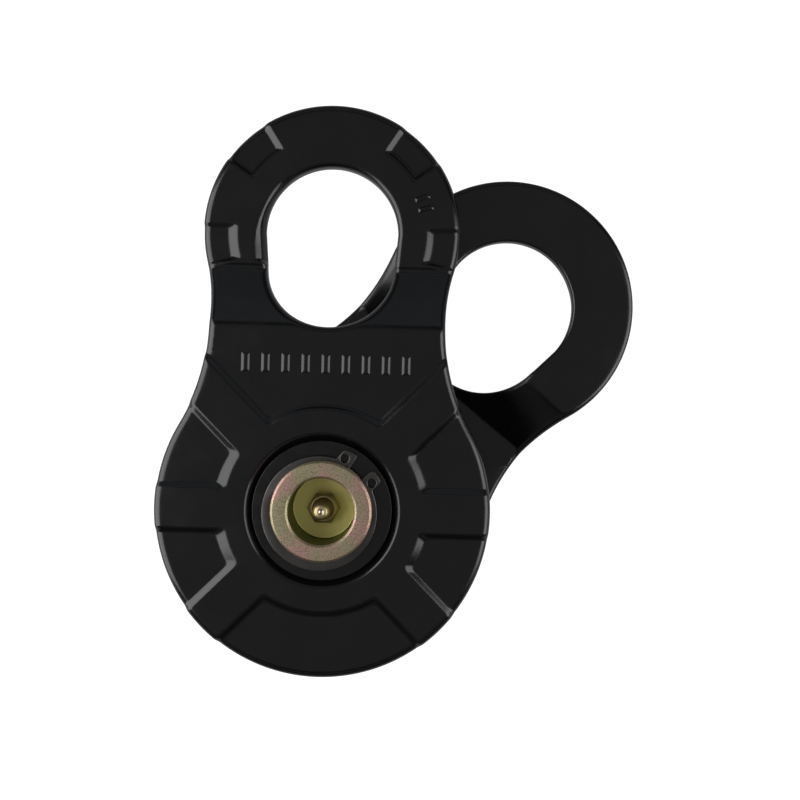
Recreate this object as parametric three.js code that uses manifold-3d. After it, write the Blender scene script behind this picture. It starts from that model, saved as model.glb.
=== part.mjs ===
// Swing-cheek snatch block: a single sheave between two joggled cheek plates.
//
// Lengths are millimetres and +Z is up. The block lies on its rear cheek: the axle's axis is Z, the
// origin is the centre of the axle's rear head, and +Y runs from the axle to the front cheek's eye.
// Each piece is first worked out from the block's mid-plane, and one group lifts them all.

import * as THREE from "three";
import { mergeVertices } from "three/addons/utils/BufferGeometryUtils.js";
import Module from "manifold-3d";

const wasm = await Module();
wasm.setup();

// ---- Driving dimensions -------------------------------------------------------------------------

// Cheek plates
const eyeSpacing = 107; // axle axis to eye centre
const discRadius = 63.7;
const eyeRadius = 50.3;
const neckHalfWidth = 45; // at the waist, where the side fillets come closest
const eyeHoleRadius = 26; // outer end of the obround eye
const eyeHoleInnerRadius = 25; // end nearer the axle
const eyeHoleLength = 12.5; // between the centres of its two ends
const plateThickness = 6;
const eyeSplit = 0.5; // between the two eyes where they pass each other
const joggleSlope = THREE.MathUtils.degToRad(29);
const joggleOffset = 13.6; // from the sheave's rim to the outer face's first bend
const bendRadius = 5; // inside radius of each bend
const swingAngle = THREE.MathUtils.degToRad(41); // rear cheek from front cheek, clockwise

// Pressed relief on the cheeks
const reliefHeight = 1.6; // hub ring and spokes above the panels
const hubRingWidth = 10; // from the seat's edge to the panels
const spokeWidth = 17;
const spokeAngles = [0, 45, 135, 180, 225, 315].map(THREE.MathUtils.degToRad);
const eyeReliefHeight = 1.5;
const eyePocketRadius = 38.5; // pockets run from here to the rim
const eyePockets = [[-16, 2.5], [34.5, 57]]; // degrees above the eye's cross line, both sides
const markCount = 9; // plain bars pressed across the neck
const markWidth = 4;
const markLength = 8.5;
const markPitch = 7.6;
const markHeight = 0.6;
const markSetback = 11.3; // first bend to the row's centre line

// Hub seat, retaining washer and circlip
const seatLedge = 7.6; // seat floor beyond the axle
const seatWallRun = 2.4; // how far the seat's wall leans out
const seatDepth = 3;
const seatWasherThickness = 1.5;
const circlipThickness = 1.75;
const circlipGrooveDepth = 1;
const circlipWidest = 4.9; // radial width opposite the gap
const circlipNarrowest = 2.3; // radial width beside the lugs
const circlipGapAngle = THREE.MathUtils.degToRad(49);
const circlipLugAngle = THREE.MathUtils.degToRad(18.6); // gap centre to each plier hole
const circlipGapHalfAngle = THREE.MathUtils.degToRad(9);
const circlipLugHole = 3.2;
const circlipLugHeight = 7; // lug's radial height over the groove

// Axle
const axleRadius = 19;
const axleProud = 3.9; // front end beyond the hub ring
const axleChamfer = 0.8;
const counterboreRadius = 12.5;
const counterboreDepth = 17.8;
const greaseDrillRadius = 2;

// Grease nipple
const nippleHex = 11; // across flats
const nippleHexHeight = 5.5;
const nippleHexChamfer = 1; // height that the corners are turned off at the hexagon's top
const nippleHexMargin = 0.6; // from the flats in to the edge of the turned top
const nippleThreadRadius = 5;
const nippleThreadLength = 6.5;
const nippleThreadChamfer = 0.6;
const nippleShoulderMargin = 1.1; // from the flats in to the foot of the stem's cone
const nippleConeFlare = 0.7; // cone's upper end beyond the head
const nippleConeHeight = 2.2;
const nippleNeckFlare = 0.15; // draft of the neck above the cone
const nippleHeadRadius = 3.25;
const nippleNeckRadius = 2.35;
const nippleBoreRadius = 1.7;
const nippleMouthRadius = 0.95;
const nippleMouthLand = 0.4; // depth of the mouth above the ball's seat
const nippleHeadHeight = 1.5; // neck to tip, in head radii
const nippleHeadRise = 1.2; // height of the head's underside cone
const nippleHeadCrown = 1.7; // height of the crown above the head's widest part
const nippleCrownInset = 0.9; // crown's radial fall to its edge
const nippleTipLand = 0.5; // flat round the mouth
const ballRadius = 1.4;
const springWire = 0.36;
const springTurns = 6;

// Sheave and what it turns on
const sheaveRadius = 56;
const sheaveWidth = 23.2;
const grooveRadius = 6.8; // for rope up to 13 mm
const grooveDepth = 12.5;
const grooveFlankAngle = THREE.MathUtils.degToRad(22);
const sheaveWebWidth = 17;
const sheaveHubWall = 7.8;
const sheaveRimWall = 2; // groove's root to the rim's foot
const sheaveRimDraft = 2; // radial run of the rim's inner face
const sheaveHubDraft = 1; // radial run of the hub's outer face
const sheaveChamfer = 1;
const bushWall = 3;
const greaseGap = 1.2; // between the two bushes
const sealSection = 2.6;
const thrustWasherThickness = 1.5;
const thrustWasherWidth = 9; // radial

// Clearances
const runningClearance = 0.12; // radial, round the axle
const pressClearance = 0.08; // radial, where a piece is held in a bore
const faceGap = 0.2; // between faces that rest on each other
const overlap = 1; // how far a raised feature goes into its plate, and a cutter past its piece

// ---- Levels above the mid-plane -----------------------------------------------------------------

const innerFace = sheaveWidth / 2 + thrustWasherThickness + 2 * faceGap;
const panelFace = innerFace + plateThickness;
const hubFace = panelFace + reliefHeight;
const seatFloor = hubFace - seatDepth;
const eyeInnerFace = eyeSplit / 2;
const eyeFace = eyeInnerFace + plateThickness;
const washerTop = seatFloor + faceGap + seatWasherThickness;
const circlipBottom = washerTop + faceGap;
const circlipTop = circlipBottom + circlipThickness;
const axleEnd = hubFace + axleProud;
const counterboreFloor = axleEnd - counterboreDepth;

// ---- Places across the plates -------------------------------------------------------------------

const seatFloorRadius = axleRadius + seatLedge;
const seatRadius = seatFloorRadius + seatWallRun;
const hubRingRadius = seatRadius + hubRingWidth;
const joggleStart = sheaveRadius + joggleOffset; // where the outer face leaves the hub's level
const joggleEnd = joggleStart + (panelFace - eyeFace) / Math.tan(joggleSlope);
const firstBend = joggleStart - (bendRadius + plateThickness) * Math.tan(joggleSlope / 2);
const hubBore = axleRadius + runningClearance + bushWall + pressClearance;
const sheaveHubRadius = hubBore + sheaveHubWall;

// ---- Helpers ------------------------------------------------------------------------------------

const roundSteps = 48;
const smallRoundSteps = 20;
const outlineSteps = 18; // halves of a step round each arc of the cheek's outline
const bendSteps = 4;
const grooveSteps = 6;
const sealSteps = 8;
const ballSteps = 16;
const coilSteps = 12; // in each turn of the spring

/** A closed geometry as a solid that can be joined and cut. */
function solid(geometry) {
  const bare = geometry.clone();
  bare.deleteAttribute("normal");
  bare.deleteAttribute("uv");
  const merged = mergeVertices(bare, 1e-5);
  const mesh = new wasm.Mesh({
    numProp: 3,
    vertProperties: new Float32Array(merged.attributes.position.array),
    triVerts: new Uint32Array(merged.index.array),
  });
  return new wasm.Manifold(mesh);
}

/** The triangles of a solid as a geometry. */
function geometryOf(body) {
  const mesh = body.getMesh();
  const geometry = new THREE.BufferGeometry();
  geometry.setAttribute("position", new THREE.BufferAttribute(new Float32Array(mesh.vertProperties), 3));
  geometry.setIndex(new THREE.BufferAttribute(new Uint32Array(mesh.triVerts), 1));
  geometry.computeVertexNormals();
  return geometry;
}

/** A flat shape as a solid from one level to another. */
function slab(shape, bottom, top, steps = roundSteps / 6) {
  const geometry = new THREE.ExtrudeGeometry(shape, {
    depth: top - bottom,
    bevelEnabled: false,
    curveSegments: steps,
  });
  geometry.translate(0, 0, bottom);
  return solid(geometry);
}

/** A solid of revolution about Z from [radius, height] points that close on themselves. */
function turned(points, steps = roundSteps) {
  const profile = [...points, points[0]].map(([r, z]) => new THREE.Vector2(r, z));
  const geometry = new THREE.LatheGeometry(profile, steps);
  geometry.rotateX(Math.PI / 2);
  return solid(geometry);
}

/** Radius of a many-sided hole whose flats just touch a circle, so that a round shaft clears it. */
function holeRadius(radius, steps = roundSteps) {
  return radius / Math.cos(Math.PI / steps);
}

/** A round hole's cutter, from one level to another. */
function drill(radius, bottom, top, steps = roundSteps) {
  const r = holeRadius(radius, steps);
  return turned([[0, bottom], [r, bottom], [r, top], [0, top]], steps);
}

function polar(radius, angle, centre = [0, 0]) {
  return [centre[0] + radius * Math.cos(angle), centre[1] + radius * Math.sin(angle)];
}

function polygon(points) {
  return new THREE.Shape(points.map(([x, y]) => new THREE.Vector2(x, y)));
}

/** A washer with square edges. */
function washer(inner, outer, bottom, top) {
  const r = holeRadius(inner);
  return turned([[r, bottom], [outer, bottom], [outer, top], [r, top]]);
}

// ---- Cheek plate --------------------------------------------------------------------------------

/** Centre and radius of the side fillet that touches the disc, the eye and the neck line. */
function sideFillet() {
  const w = neckHalfWidth;
  const a = discRadius;
  const b = eyeRadius;
  const l = eyeSpacing;
  // (w+r)^2 + y^2 = (a+r)^2 and (w+r)^2 + (l-y)^2 = (b+r)^2, solved for r by halving.
  let low = 1;
  let high = 2000;
  for (let i = 0; i < 80; i += 1) {
    const r = (low + high) / 2;
    const toDisc = Math.sqrt((a + r) ** 2 - (w + r) ** 2);
    const toEye = Math.sqrt((b + r) ** 2 - (w + r) ** 2);
    if (toDisc + toEye > l) high = r;
    else low = r;
  }
  const radius = (low + high) / 2;
  return { radius, x: w + radius, y: Math.sqrt((a + radius) ** 2 - (w + radius) ** 2) };
}

/** Disc, neck and eye in one outline, with no holes. */
function cheekOutline() {
  const fillet = sideFillet();
  const discAngle = Math.atan2(fillet.y, fillet.x);
  const eyeAngle = Math.atan2(fillet.y - eyeSpacing, fillet.x);
  const shape = new THREE.Shape();
  shape.absarc(0, 0, discRadius, Math.PI - discAngle, 2 * Math.PI + discAngle, false);
  shape.absarc(fillet.x, fillet.y, fillet.radius, Math.PI + discAngle, Math.PI + eyeAngle, true);
  shape.absarc(0, eyeSpacing, eyeRadius, eyeAngle, Math.PI - eyeAngle, false);
  shape.absarc(-fillet.x, fillet.y, fillet.radius, -eyeAngle, -discAngle, true);
  return shape;
}

/** The eye's obround hole. */
function eyeHole() {
  const nearCentre = eyeSpacing - eyeHoleLength;
  const shape = new THREE.Shape();
  shape.absarc(0, eyeSpacing, eyeHoleRadius, 0, Math.PI, false);
  shape.absarc(0, nearCentre, eyeHoleInnerRadius, Math.PI, 2 * Math.PI, false);
  return shape;
}

/** Points round a bend: from one line's direction to the next, about a centre. */
function bend(centre, radius, from, to) {
  const points = [];
  for (let i = 0; i <= bendSteps; i += 1) {
    points.push(polar(radius, from + ((to - from) * i) / bendSteps, centre));
  }
  return points;
}

/** The joggled plate as a wide band, before its outline is cut. */
function joggledBand() {
  const reach = 2 * (eyeSpacing + eyeRadius + discRadius);
  const outerRadius = bendRadius + plateThickness;
  const low = bendRadius * Math.tan(joggleSlope / 2);
  const upper = [firstBend, panelFace - outerRadius];
  const lower = [joggleEnd + low, eyeFace + bendRadius];
  const up = Math.PI / 2;
  const top = [
    [-reach, panelFace],
    ...bend(upper, outerRadius, up, up - joggleSlope),
    ...bend(lower, bendRadius, -up - joggleSlope, -up),
    [reach, eyeFace],
  ];
  const bottom = [
    [reach, eyeInnerFace],
    ...bend(lower, outerRadius, -up, -up - joggleSlope),
    ...bend(upper, bendRadius, up - joggleSlope, up),
    [-reach, innerFace],
  ];
  const shape = polygon([...top, ...bottom]);
  const width = 3 * (discRadius + eyeRadius);
  const geometry = new THREE.ExtrudeGeometry(shape, { depth: width, bevelEnabled: false });
  geometry.translate(0, 0, -width / 2);
  // The section is drawn with y across and z up, and runs along x.
  geometry.applyMatrix4(new THREE.Matrix4().set(0, 0, 1, 0, 1, 0, 0, 0, 0, 1, 0, 0, 0, 0, 0, 1));
  return solid(geometry);
}

/** Hub ring and spokes, as an upright solid that ends where the plate starts to bend. */
function hubRelief(bottom, top) {
  const reach = discRadius + eyeSpacing;
  const spokes = spokeAngles.map((angle) => {
    const along = polar(1, angle);
    const half = spokeWidth / 2;
    const side = [-along[1] * half, along[0] * half];
    return slab(
      polygon([
        [side[0], side[1]],
        [-side[0], -side[1]],
        [along[0] * reach - side[0], along[1] * reach - side[1]],
        [along[0] * reach + side[0], along[1] * reach + side[1]],
      ]),
      bottom,
      top,
    );
  });
  const ring = turned([[0, bottom], [hubRingRadius, bottom], [hubRingRadius, top], [0, top]]);
  const flat = slab(
    polygon([[-reach, -reach], [reach, -reach], [reach, firstBend], [-reach, firstBend]]),
    bottom,
    top,
  );
  return spokes.reduce((sum, spoke) => sum.add(spoke), ring).intersect(flat);
}

/** The raised part of the eye: all of it past the bend, but for four pockets at the rim. */
function eyeRelief(bottom, top) {
  const reach = eyeSpacing + 2 * eyeRadius;
  const wide = 2 * eyeRadius;
  const centre = [0, eyeSpacing];
  let body = slab(
    polygon([[-wide, joggleEnd], [wide, joggleEnd], [wide, reach], [-wide, reach]]),
    bottom,
    top,
  );
  for (const [from, to] of eyePockets) {
    for (const side of [1, -1]) {
      const turn = ([x, y]) => [side * x, y];
      const a = THREE.MathUtils.degToRad(from);
      const b = THREE.MathUtils.degToRad(to);
      const points = [
        polar(eyePocketRadius, a, centre),
        polar(wide, a, centre),
        polar(wide, b, centre),
        polar(eyePocketRadius, b, centre),
      ].map(turn);
      body = body.subtract(
        slab(polygon(side > 0 ? points : points.reverse()), bottom - overlap, top + overlap),
      );
    }
  }
  return body;
}

/** A row of plain upright bars across the neck. */
function neckMarks() {
  const markPlace = firstBend - markSetback;
  const bars = [];
  for (let i = 0; i < markCount; i += 1) {
    const x = (i - (markCount - 1) / 2) * markPitch;
    const half = [markWidth / 2, markLength / 2];
    bars.push(
      slab(
        polygon([
          [x - half[0], markPlace - half[1]],
          [x + half[0], markPlace - half[1]],
          [x + half[0], markPlace + half[1]],
          [x - half[0], markPlace + half[1]],
        ]),
        panelFace - overlap,
        panelFace + markHeight,
      ),
    );
  }
  return bars.reduce((sum, bar) => sum.add(bar));
}

/** One cheek plate with its outer face up and its eye towards +Y. */
function cheekPlate() {
  const low = eyeInnerFace - overlap;
  const high = hubFace + overlap;
  const outline = slab(cheekOutline(), low, high, outlineSteps);
  const discRelief = hubRelief(panelFace - overlap, hubFace).intersect(outline);
  const raisedEye = eyeRelief(eyeFace - overlap, eyeFace + eyeReliefHeight).intersect(outline);
  const seat = turned([
    [0, seatFloor],
    [seatFloorRadius, seatFloor],
    [seatRadius, hubFace],
    [seatRadius, high],
    [0, high],
  ]);
  return joggledBand()
    .intersect(outline)
    .add(discRelief)
    .add(raisedEye)
    .add(neckMarks())
    .subtract(seat)
    .subtract(drill(axleRadius + runningClearance, low, high))
    .subtract(slab(eyeHole(), low - overlap, high + overlap));
}

// ---- Axle and what holds it ---------------------------------------------------------------------

/** Headed axle with a circlip groove, a counterbore, and drillings that feed the bushes. */
function axlePin() {
  const r = axleRadius;
  const c = axleChamfer;
  const head = -hubFace;
  const shoulder = -seatFloor - faceGap;
  const headRadius = seatFloorRadius - faceGap;
  const groove = r - circlipGrooveDepth;
  const slack = faceGap / 2;
  const blank = turned([
    [0, head],
    [headRadius - c, head],
    [headRadius, head + c],
    [headRadius, shoulder],
    [r, shoulder],
    [r, circlipBottom - slack],
    [groove, circlipBottom - slack],
    [groove, circlipTop + slack],
    [r, circlipTop + slack],
    [r, axleEnd - c],
    [r - c, axleEnd],
    [0, axleEnd],
  ]);
  const mouth = counterboreRadius;
  const counterbore = turned([
    [0, counterboreFloor],
    [mouth, counterboreFloor],
    [mouth, axleEnd - c / 2],
    [mouth + c, axleEnd + c / 2],
    [0, axleEnd + c / 2],
  ]);
  const thread = drill(
    nippleThreadRadius + pressClearance,
    counterboreFloor - nippleThreadLength - overlap,
    counterboreFloor + overlap,
    smallRoundSteps,
  );
  const feed = drill(greaseDrillRadius, -greaseDrillRadius, counterboreFloor, smallRoundSteps);
  const across = drill(greaseDrillRadius, -2 * r, 2 * r, smallRoundSteps).rotate([90, 0, 0]);
  return blank.subtract(counterbore).subtract(thread).subtract(feed).subtract(across);
}

/** External circlip: widest opposite its gap, with a plier hole in each end. */
function circlip() {
  const inner = axleRadius - circlipGrooveDepth + runningClearance;
  const outer = inner + (circlipWidest + circlipNarrowest) / 2;
  const shift = (circlipWidest - circlipNarrowest) / 2;
  const lugCentre = inner + circlipLugHeight / 2;
  const lugRadius = circlipLugHeight / 2;
  const z = [circlipBottom, circlipTop];
  const body = turned([[0, z[0]], [outer, z[0]], [outer, z[1]], [0, z[1]]]).translate([-shift, 0, 0]);
  const gap = polygon([
    [0, 0],
    polar(2 * outer, -circlipGapHalfAngle),
    polar(2 * outer, circlipGapHalfAngle),
  ]);
  let ring = body;
  for (const side of [1, -1]) {
    const [x, y] = polar(lugCentre, side * circlipLugAngle);
    const lug = turned([[0, z[0]], [lugRadius, z[0]], [lugRadius, z[1]], [0, z[1]]], smallRoundSteps);
    ring = ring.add(lug.translate([x, y, 0]));
  }
  const past = [z[0] - overlap, z[1] + overlap];
  ring = ring.subtract(drill(inner, ...past)).subtract(slab(gap, ...past));
  for (const side of [1, -1]) {
    const [x, y] = polar(lugCentre, side * circlipLugAngle);
    const hole = drill(circlipLugHole / 2, ...past, smallRoundSteps);
    ring = ring.subtract(hole.translate([x, y, 0]));
  }
  return ring.rotate([0, 0, THREE.MathUtils.radToDeg(circlipGapAngle)]);
}

// ---- Grease nipple ------------------------------------------------------------------------------

const nippleTip = axleEnd;
const nippleSeat = counterboreFloor + faceGap;
const ballSeat = nippleTip - nippleMouthLand;
const ballCentre = ballSeat - Math.sqrt(ballRadius ** 2 - nippleMouthRadius ** 2) - faceGap / 2;
const springTop = ballCentre - ballRadius - faceGap / 2;
const springBottom = nippleSeat - nippleThreadLength / 2;

/** Hex body, threaded shank and round head, with a passage for the ball and its spring. */
function greaseNipple() {
  const hexCorner = nippleHex / 2 / Math.cos(Math.PI / 6);
  const bottom = nippleSeat - nippleThreadLength;
  const hexTop = nippleSeat + nippleHexHeight;
  const headBottom = nippleTip - nippleHeadHeight * nippleHeadRadius;
  const hex = turned([[0, nippleSeat], [hexCorner, nippleSeat], [hexCorner, hexTop], [0, hexTop]], 6);
  const chamfer = turned([
    [0, nippleSeat],
    [hexCorner, nippleSeat],
    [hexCorner, hexTop - nippleHexChamfer],
    [nippleHex / 2 - nippleHexMargin, hexTop],
    [0, hexTop],
  ]);
  const stem = turned([
    [0, bottom],
    [nippleThreadRadius - nippleThreadChamfer, bottom],
    [nippleThreadRadius, bottom + nippleThreadChamfer],
    [nippleThreadRadius, hexTop - nippleHexChamfer],
    [nippleHex / 2 - nippleShoulderMargin, hexTop - nippleHexChamfer / 2],
    [nippleHeadRadius + nippleConeFlare, hexTop + nippleConeHeight],
    [nippleNeckRadius + nippleNeckFlare, headBottom - nippleHexChamfer],
    [nippleNeckRadius, headBottom],
    [nippleHeadRadius, headBottom + nippleHeadRise],
    [nippleHeadRadius, nippleTip - nippleHeadCrown],
    [nippleHeadRadius - nippleCrownInset, nippleTip - nippleMouthLand],
    [nippleMouthRadius + nippleTipLand, nippleTip],
    [0, nippleTip],
  ], smallRoundSteps);
  const passage = turned([
    [0, bottom - overlap],
    [nippleMouthRadius, bottom - overlap],
    [nippleMouthRadius, springBottom],
    [nippleBoreRadius, springBottom],
    [nippleBoreRadius, ballCentre + faceGap],
    [nippleMouthRadius, ballSeat],
    [nippleMouthRadius, nippleTip + overlap],
    [0, nippleTip + overlap],
  ], smallRoundSteps);
  return hex.intersect(chamfer).add(stem).subtract(passage);
}

/** Coil spring under the check ball. */
function nippleSpring() {
  class Coil extends THREE.Curve {
    getPoint(t, target = new THREE.Vector3()) {
      const r = nippleBoreRadius - faceGap - springWire / 2;
      const angle = t * springTurns * 2 * Math.PI;
      const low = springBottom + faceGap + springWire / 2;
      const high = springTop - springWire / 2;
      return target.set(r * Math.cos(angle), r * Math.sin(angle), low + (high - low) * t);
    }
  }
  const section = new THREE.Shape();
  section.absarc(0, 0, springWire / 2, 0, 2 * Math.PI, false);
  const geometry = new THREE.ExtrudeGeometry(section, {
    steps: springTurns * coilSteps,
    curveSegments: coilSteps / 4,
    bevelEnabled: false,
    extrudePath: new Coil(),
  });
  return solid(geometry);
}

function checkBall() {
  const geometry = new THREE.SphereGeometry(ballRadius, ballSteps, ballSteps / 2);
  geometry.rotateX(Math.PI / 2);
  geometry.translate(0, 0, ballCentre);
  return solid(geometry);
}

// ---- Sheave and what it turns on ----------------------------------------------------------------

const sealPocket = sealSection + 2 * faceGap;

/** Points of the rope groove's section, from one flange to the other. */
function grooveProfile() {
  const rootCentre = sheaveRadius - grooveDepth + grooveRadius;
  const flank = grooveFlankAngle;
  const arcEnd = Math.PI / 2 - flank;
  const points = [];
  for (let i = 0; i <= grooveSteps; i += 1) {
    const a = -arcEnd + (2 * arcEnd * i) / grooveSteps;
    points.push([rootCentre - grooveRadius * Math.cos(a), grooveRadius * Math.sin(a)]);
  }
  const rise = sheaveRadius - points[0][0];
  const halfMouth = points[grooveSteps][1] + rise * Math.tan(flank);
  return [[sheaveRadius, -halfMouth], ...points, [sheaveRadius, halfMouth]];
}

/** Grooved wheel with a thinner web and a bore for its bushes. */
function sheave() {
  const half = sheaveWidth / 2;
  const web = sheaveWebWidth / 2;
  const r = holeRadius(hubBore);
  const rimFoot = sheaveRadius - grooveDepth - sheaveRimWall;
  const c = sheaveChamfer;
  return turned([
    [r, -half],
    [sheaveHubRadius, -half],
    [sheaveHubRadius + sheaveHubDraft, -web],
    [rimFoot, -web],
    [rimFoot + sheaveRimDraft, -half],
    [sheaveRadius - c, -half],
    [sheaveRadius, -half + c],
    ...grooveProfile(),
    [sheaveRadius, half - c],
    [sheaveRadius - c, half],
    [rimFoot + sheaveRimDraft, half],
    [rimFoot, web],
    [sheaveHubRadius + sheaveHubDraft, web],
    [sheaveHubRadius, half],
    [r, half],
  ]);
}

/** One bronze bush, on the mid-plane's upper side. */
function sheaveBush() {
  const top = sheaveWidth / 2 - sealPocket;
  return washer(axleRadius + runningClearance, hubBore - pressClearance, greaseGap / 2, top);
}

/** One round-section seal beyond the bush. */
function greaseSeal() {
  const mean = (axleRadius + hubBore) / 2;
  const level = sheaveWidth / 2 - sealPocket / 2;
  const points = [];
  for (let i = 0; i < sealSteps; i += 1) {
    const [r, z] = polar(sealSection / 2, (2 * Math.PI * i) / sealSteps);
    points.push([mean + r, level + z]);
  }
  return turned(points);
}

function thrustWasher() {
  const bottom = sheaveWidth / 2 + faceGap;
  const outer = axleRadius + thrustWasherWidth;
  return washer(axleRadius + runningClearance, outer, bottom, bottom + thrustWasherThickness);
}

function retainingWasher() {
  const bottom = seatFloor + faceGap;
  return washer(axleRadius + runningClearance, seatFloorRadius - faceGap, bottom, washerTop);
}

// ---- Assembly -----------------------------------------------------------------------------------

const finishes = {
  blackPowderCoat: { color: 0x1a1a1b, roughness: 0.25, metalness: 0.0 },
  yellowZinc: { color: 0xa59a6a, roughness: 0.35, metalness: 1.0 },
  blackOxide: { color: 0x1c1b1a, roughness: 0.45, metalness: 0.6 },
  yellowBrass: { color: 0xa8873f, roughness: 0.3, metalness: 1.0 },
  brightSteel: { color: 0xcfcfcf, roughness: 0.15, metalness: 1.0 },
  darkSteel: { color: 0x3a3b3c, roughness: 0.5, metalness: 0.8 },
  bronze: { color: 0x9c6b3c, roughness: 0.4, metalness: 1.0 },
  nitrile: { color: 0x0d0d0d, roughness: 0.7, metalness: 0.0 },
};

/** A named mesh of a solid in one of the finishes. */
function piece(name, body, finish) {
  const mesh = new THREE.Mesh(geometryOf(body), new THREE.MeshStandardMaterial(finish));
  mesh.name = name;
  return mesh;
}

/** The same piece turned over to the mid-plane's other side. */
function turnedOver(mesh) {
  mesh.rotation.y = Math.PI;
  return mesh;
}

const block = new THREE.Group();
block.position.z = hubFace;

const plate = cheekPlate();
const rearCheek = new THREE.Group();
rearCheek.rotation.z = -swingAngle;
rearCheek.add(turnedOver(piece("rear_cheek_plate", plate, finishes.blackPowderCoat)));

block.add(
  piece("front_cheek_plate", plate, finishes.blackPowderCoat),
  rearCheek,
  piece("axle_pin", axlePin(), finishes.yellowZinc),
  piece("front_retaining_washer", retainingWasher(), finishes.blackOxide),
  piece("front_circlip", circlip(), finishes.blackOxide),
  piece("grease_nipple", greaseNipple(), finishes.yellowBrass),
  piece("nipple_check_ball", checkBall(), finishes.brightSteel),
  piece("nipple_spring", nippleSpring(), finishes.brightSteel),
  piece("sheave", sheave(), finishes.darkSteel),
  piece("front_sheave_bush", sheaveBush(), finishes.bronze),
  turnedOver(piece("rear_sheave_bush", sheaveBush(), finishes.bronze)),
  piece("front_grease_seal", greaseSeal(), finishes.nitrile),
  turnedOver(piece("rear_grease_seal", greaseSeal(), finishes.nitrile)),
  piece("front_thrust_washer", thrustWasher(), finishes.darkSteel),
  turnedOver(piece("rear_thrust_washer", thrustWasher(), finishes.darkSteel)),
);

export default block;
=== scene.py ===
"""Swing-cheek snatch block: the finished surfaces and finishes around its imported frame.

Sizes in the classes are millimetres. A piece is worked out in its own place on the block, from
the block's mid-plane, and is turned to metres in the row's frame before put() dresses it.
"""

import logging
import math
from collections.abc import Callable
from dataclasses import dataclass, field
from enum import Enum

import bmesh
import bpy
import numpy as np
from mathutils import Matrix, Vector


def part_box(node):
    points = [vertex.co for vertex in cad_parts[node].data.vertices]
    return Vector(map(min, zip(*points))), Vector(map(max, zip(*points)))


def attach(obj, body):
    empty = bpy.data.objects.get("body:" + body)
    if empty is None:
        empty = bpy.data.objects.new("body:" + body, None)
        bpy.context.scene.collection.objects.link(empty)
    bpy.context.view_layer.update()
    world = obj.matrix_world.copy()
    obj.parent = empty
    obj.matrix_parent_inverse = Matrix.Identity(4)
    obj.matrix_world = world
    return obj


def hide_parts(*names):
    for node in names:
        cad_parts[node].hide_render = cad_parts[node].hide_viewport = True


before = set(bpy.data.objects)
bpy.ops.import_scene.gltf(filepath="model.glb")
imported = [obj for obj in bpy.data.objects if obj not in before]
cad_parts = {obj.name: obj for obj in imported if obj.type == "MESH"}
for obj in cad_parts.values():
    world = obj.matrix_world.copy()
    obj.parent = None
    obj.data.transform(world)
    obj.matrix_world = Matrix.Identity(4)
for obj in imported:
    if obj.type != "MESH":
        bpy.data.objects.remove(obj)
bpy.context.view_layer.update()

log = logging.getLogger("snatch_block")

Piece = bpy.types.Object
Socket = bpy.types.NodeSocket
Tree = bpy.types.NodeTree

MM = 0.001
WELD = 1e-7
TINY = 1e-9
SMOOTH_ANGLE = math.radians(40)
ROUND_STEPS = 160
RING_WIDTH = 0.314  # of one ring of the ring wave at a scale of 1
TURNED_OVER = (-1, 1, -1)
REAR_SWING = -math.radians(41)  # of the rear cheek from the front one
RUNNING_RADIUS = 19.12  # bore of every piece that turns on the 19 mm axle


# ---- Numbers and meshes -------------------------------------------------------------------------


def level(node: str, top: bool) -> float:
    """Height of a CAD node's top or bottom above the row's origin, in millimetres."""
    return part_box(node)[1 if top else 0].z / MM


def reach(node: str) -> float:
    """Largest radius of a round CAD node about the axle, in millimetres."""
    low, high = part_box(node)
    return max(high.x, -low.x) / MM


MID_PLANE = level("axle_pin", False) + (
    level("front_cheek_plate", True) - level("rear_cheek_plate", False)
) / 2


class Side(Enum):
    """The side of the mid-plane that a piece is on."""

    FRONT = 1
    REAR = -1


def linear(code: str) -> tuple[float, float, float, float]:
    """An sRGB hex colour as linear light.

    Args:
        code: six hex digits after a hash.

    Returns:
        Red, green, blue and an alpha of 1.
    """
    parts = [int(code[i : i + 2], 16) / 255 for i in (1, 3, 5)]
    low = [c / 12.92 if c <= 0.04045 else ((c + 0.055) / 1.055) ** 2.4 for c in parts]
    return (low[0], low[1], low[2], 1.0)


def ramp(t: np.ndarray, ease: float = 0.2) -> np.ndarray:
    """A straight rise from 0 at t = 0 to 1 at t = 1, with both corners eased.

    Each corner is a parabola that reaches `ease` to either side of it: the rise is
    R(t) - R(t - 1), where R is 0, then (t + ease)^2 / (4 ease), then t.

    Args:
        t: where along the rise, any array.
        ease: how far each rounded corner reaches, as a share of the rise.

    Returns:
        Heights from 0 to 1, shaped as t.
    """

    def knee(s: np.ndarray) -> np.ndarray:
        """R(s): 0, then a parabola, then s."""
        return np.clip(s + ease, 0, 2 * ease) ** 2 / (4 * ease) + np.maximum(s - ease, 0)

    return knee(t) - knee(t - 1)


def soft_max(a: np.ndarray, b: np.ndarray, blend: float) -> np.ndarray:
    """The larger of two arrays, rounded where they are within `blend` of each other."""
    near = np.maximum(blend - np.abs(a - b), 0) / blend
    return np.maximum(a, b) + near**2 * blend / 4


def drop(inside: np.ndarray, radius: float) -> np.ndarray:
    """How far a quarter-round edge lies below its face.

    It is radius - sqrt(radius^2 - (radius - inside)^2), and 0 further in than the radius.

    Args:
        inside: distance in from the edge, any array.
        radius: radius of the round.

    Returns:
        Drop below the face, shaped as inside.
    """
    over = np.clip(radius - inside, 0, radius)
    return radius - np.sqrt(radius**2 - over**2)


def edge_rows(radius: float, steps: int) -> np.ndarray:
    """Distances in from an edge that step evenly round its quarter-round, from 0 to the radius."""
    return radius * (1 - np.cos(np.linspace(0, math.pi / 2, steps + 1)))


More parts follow.
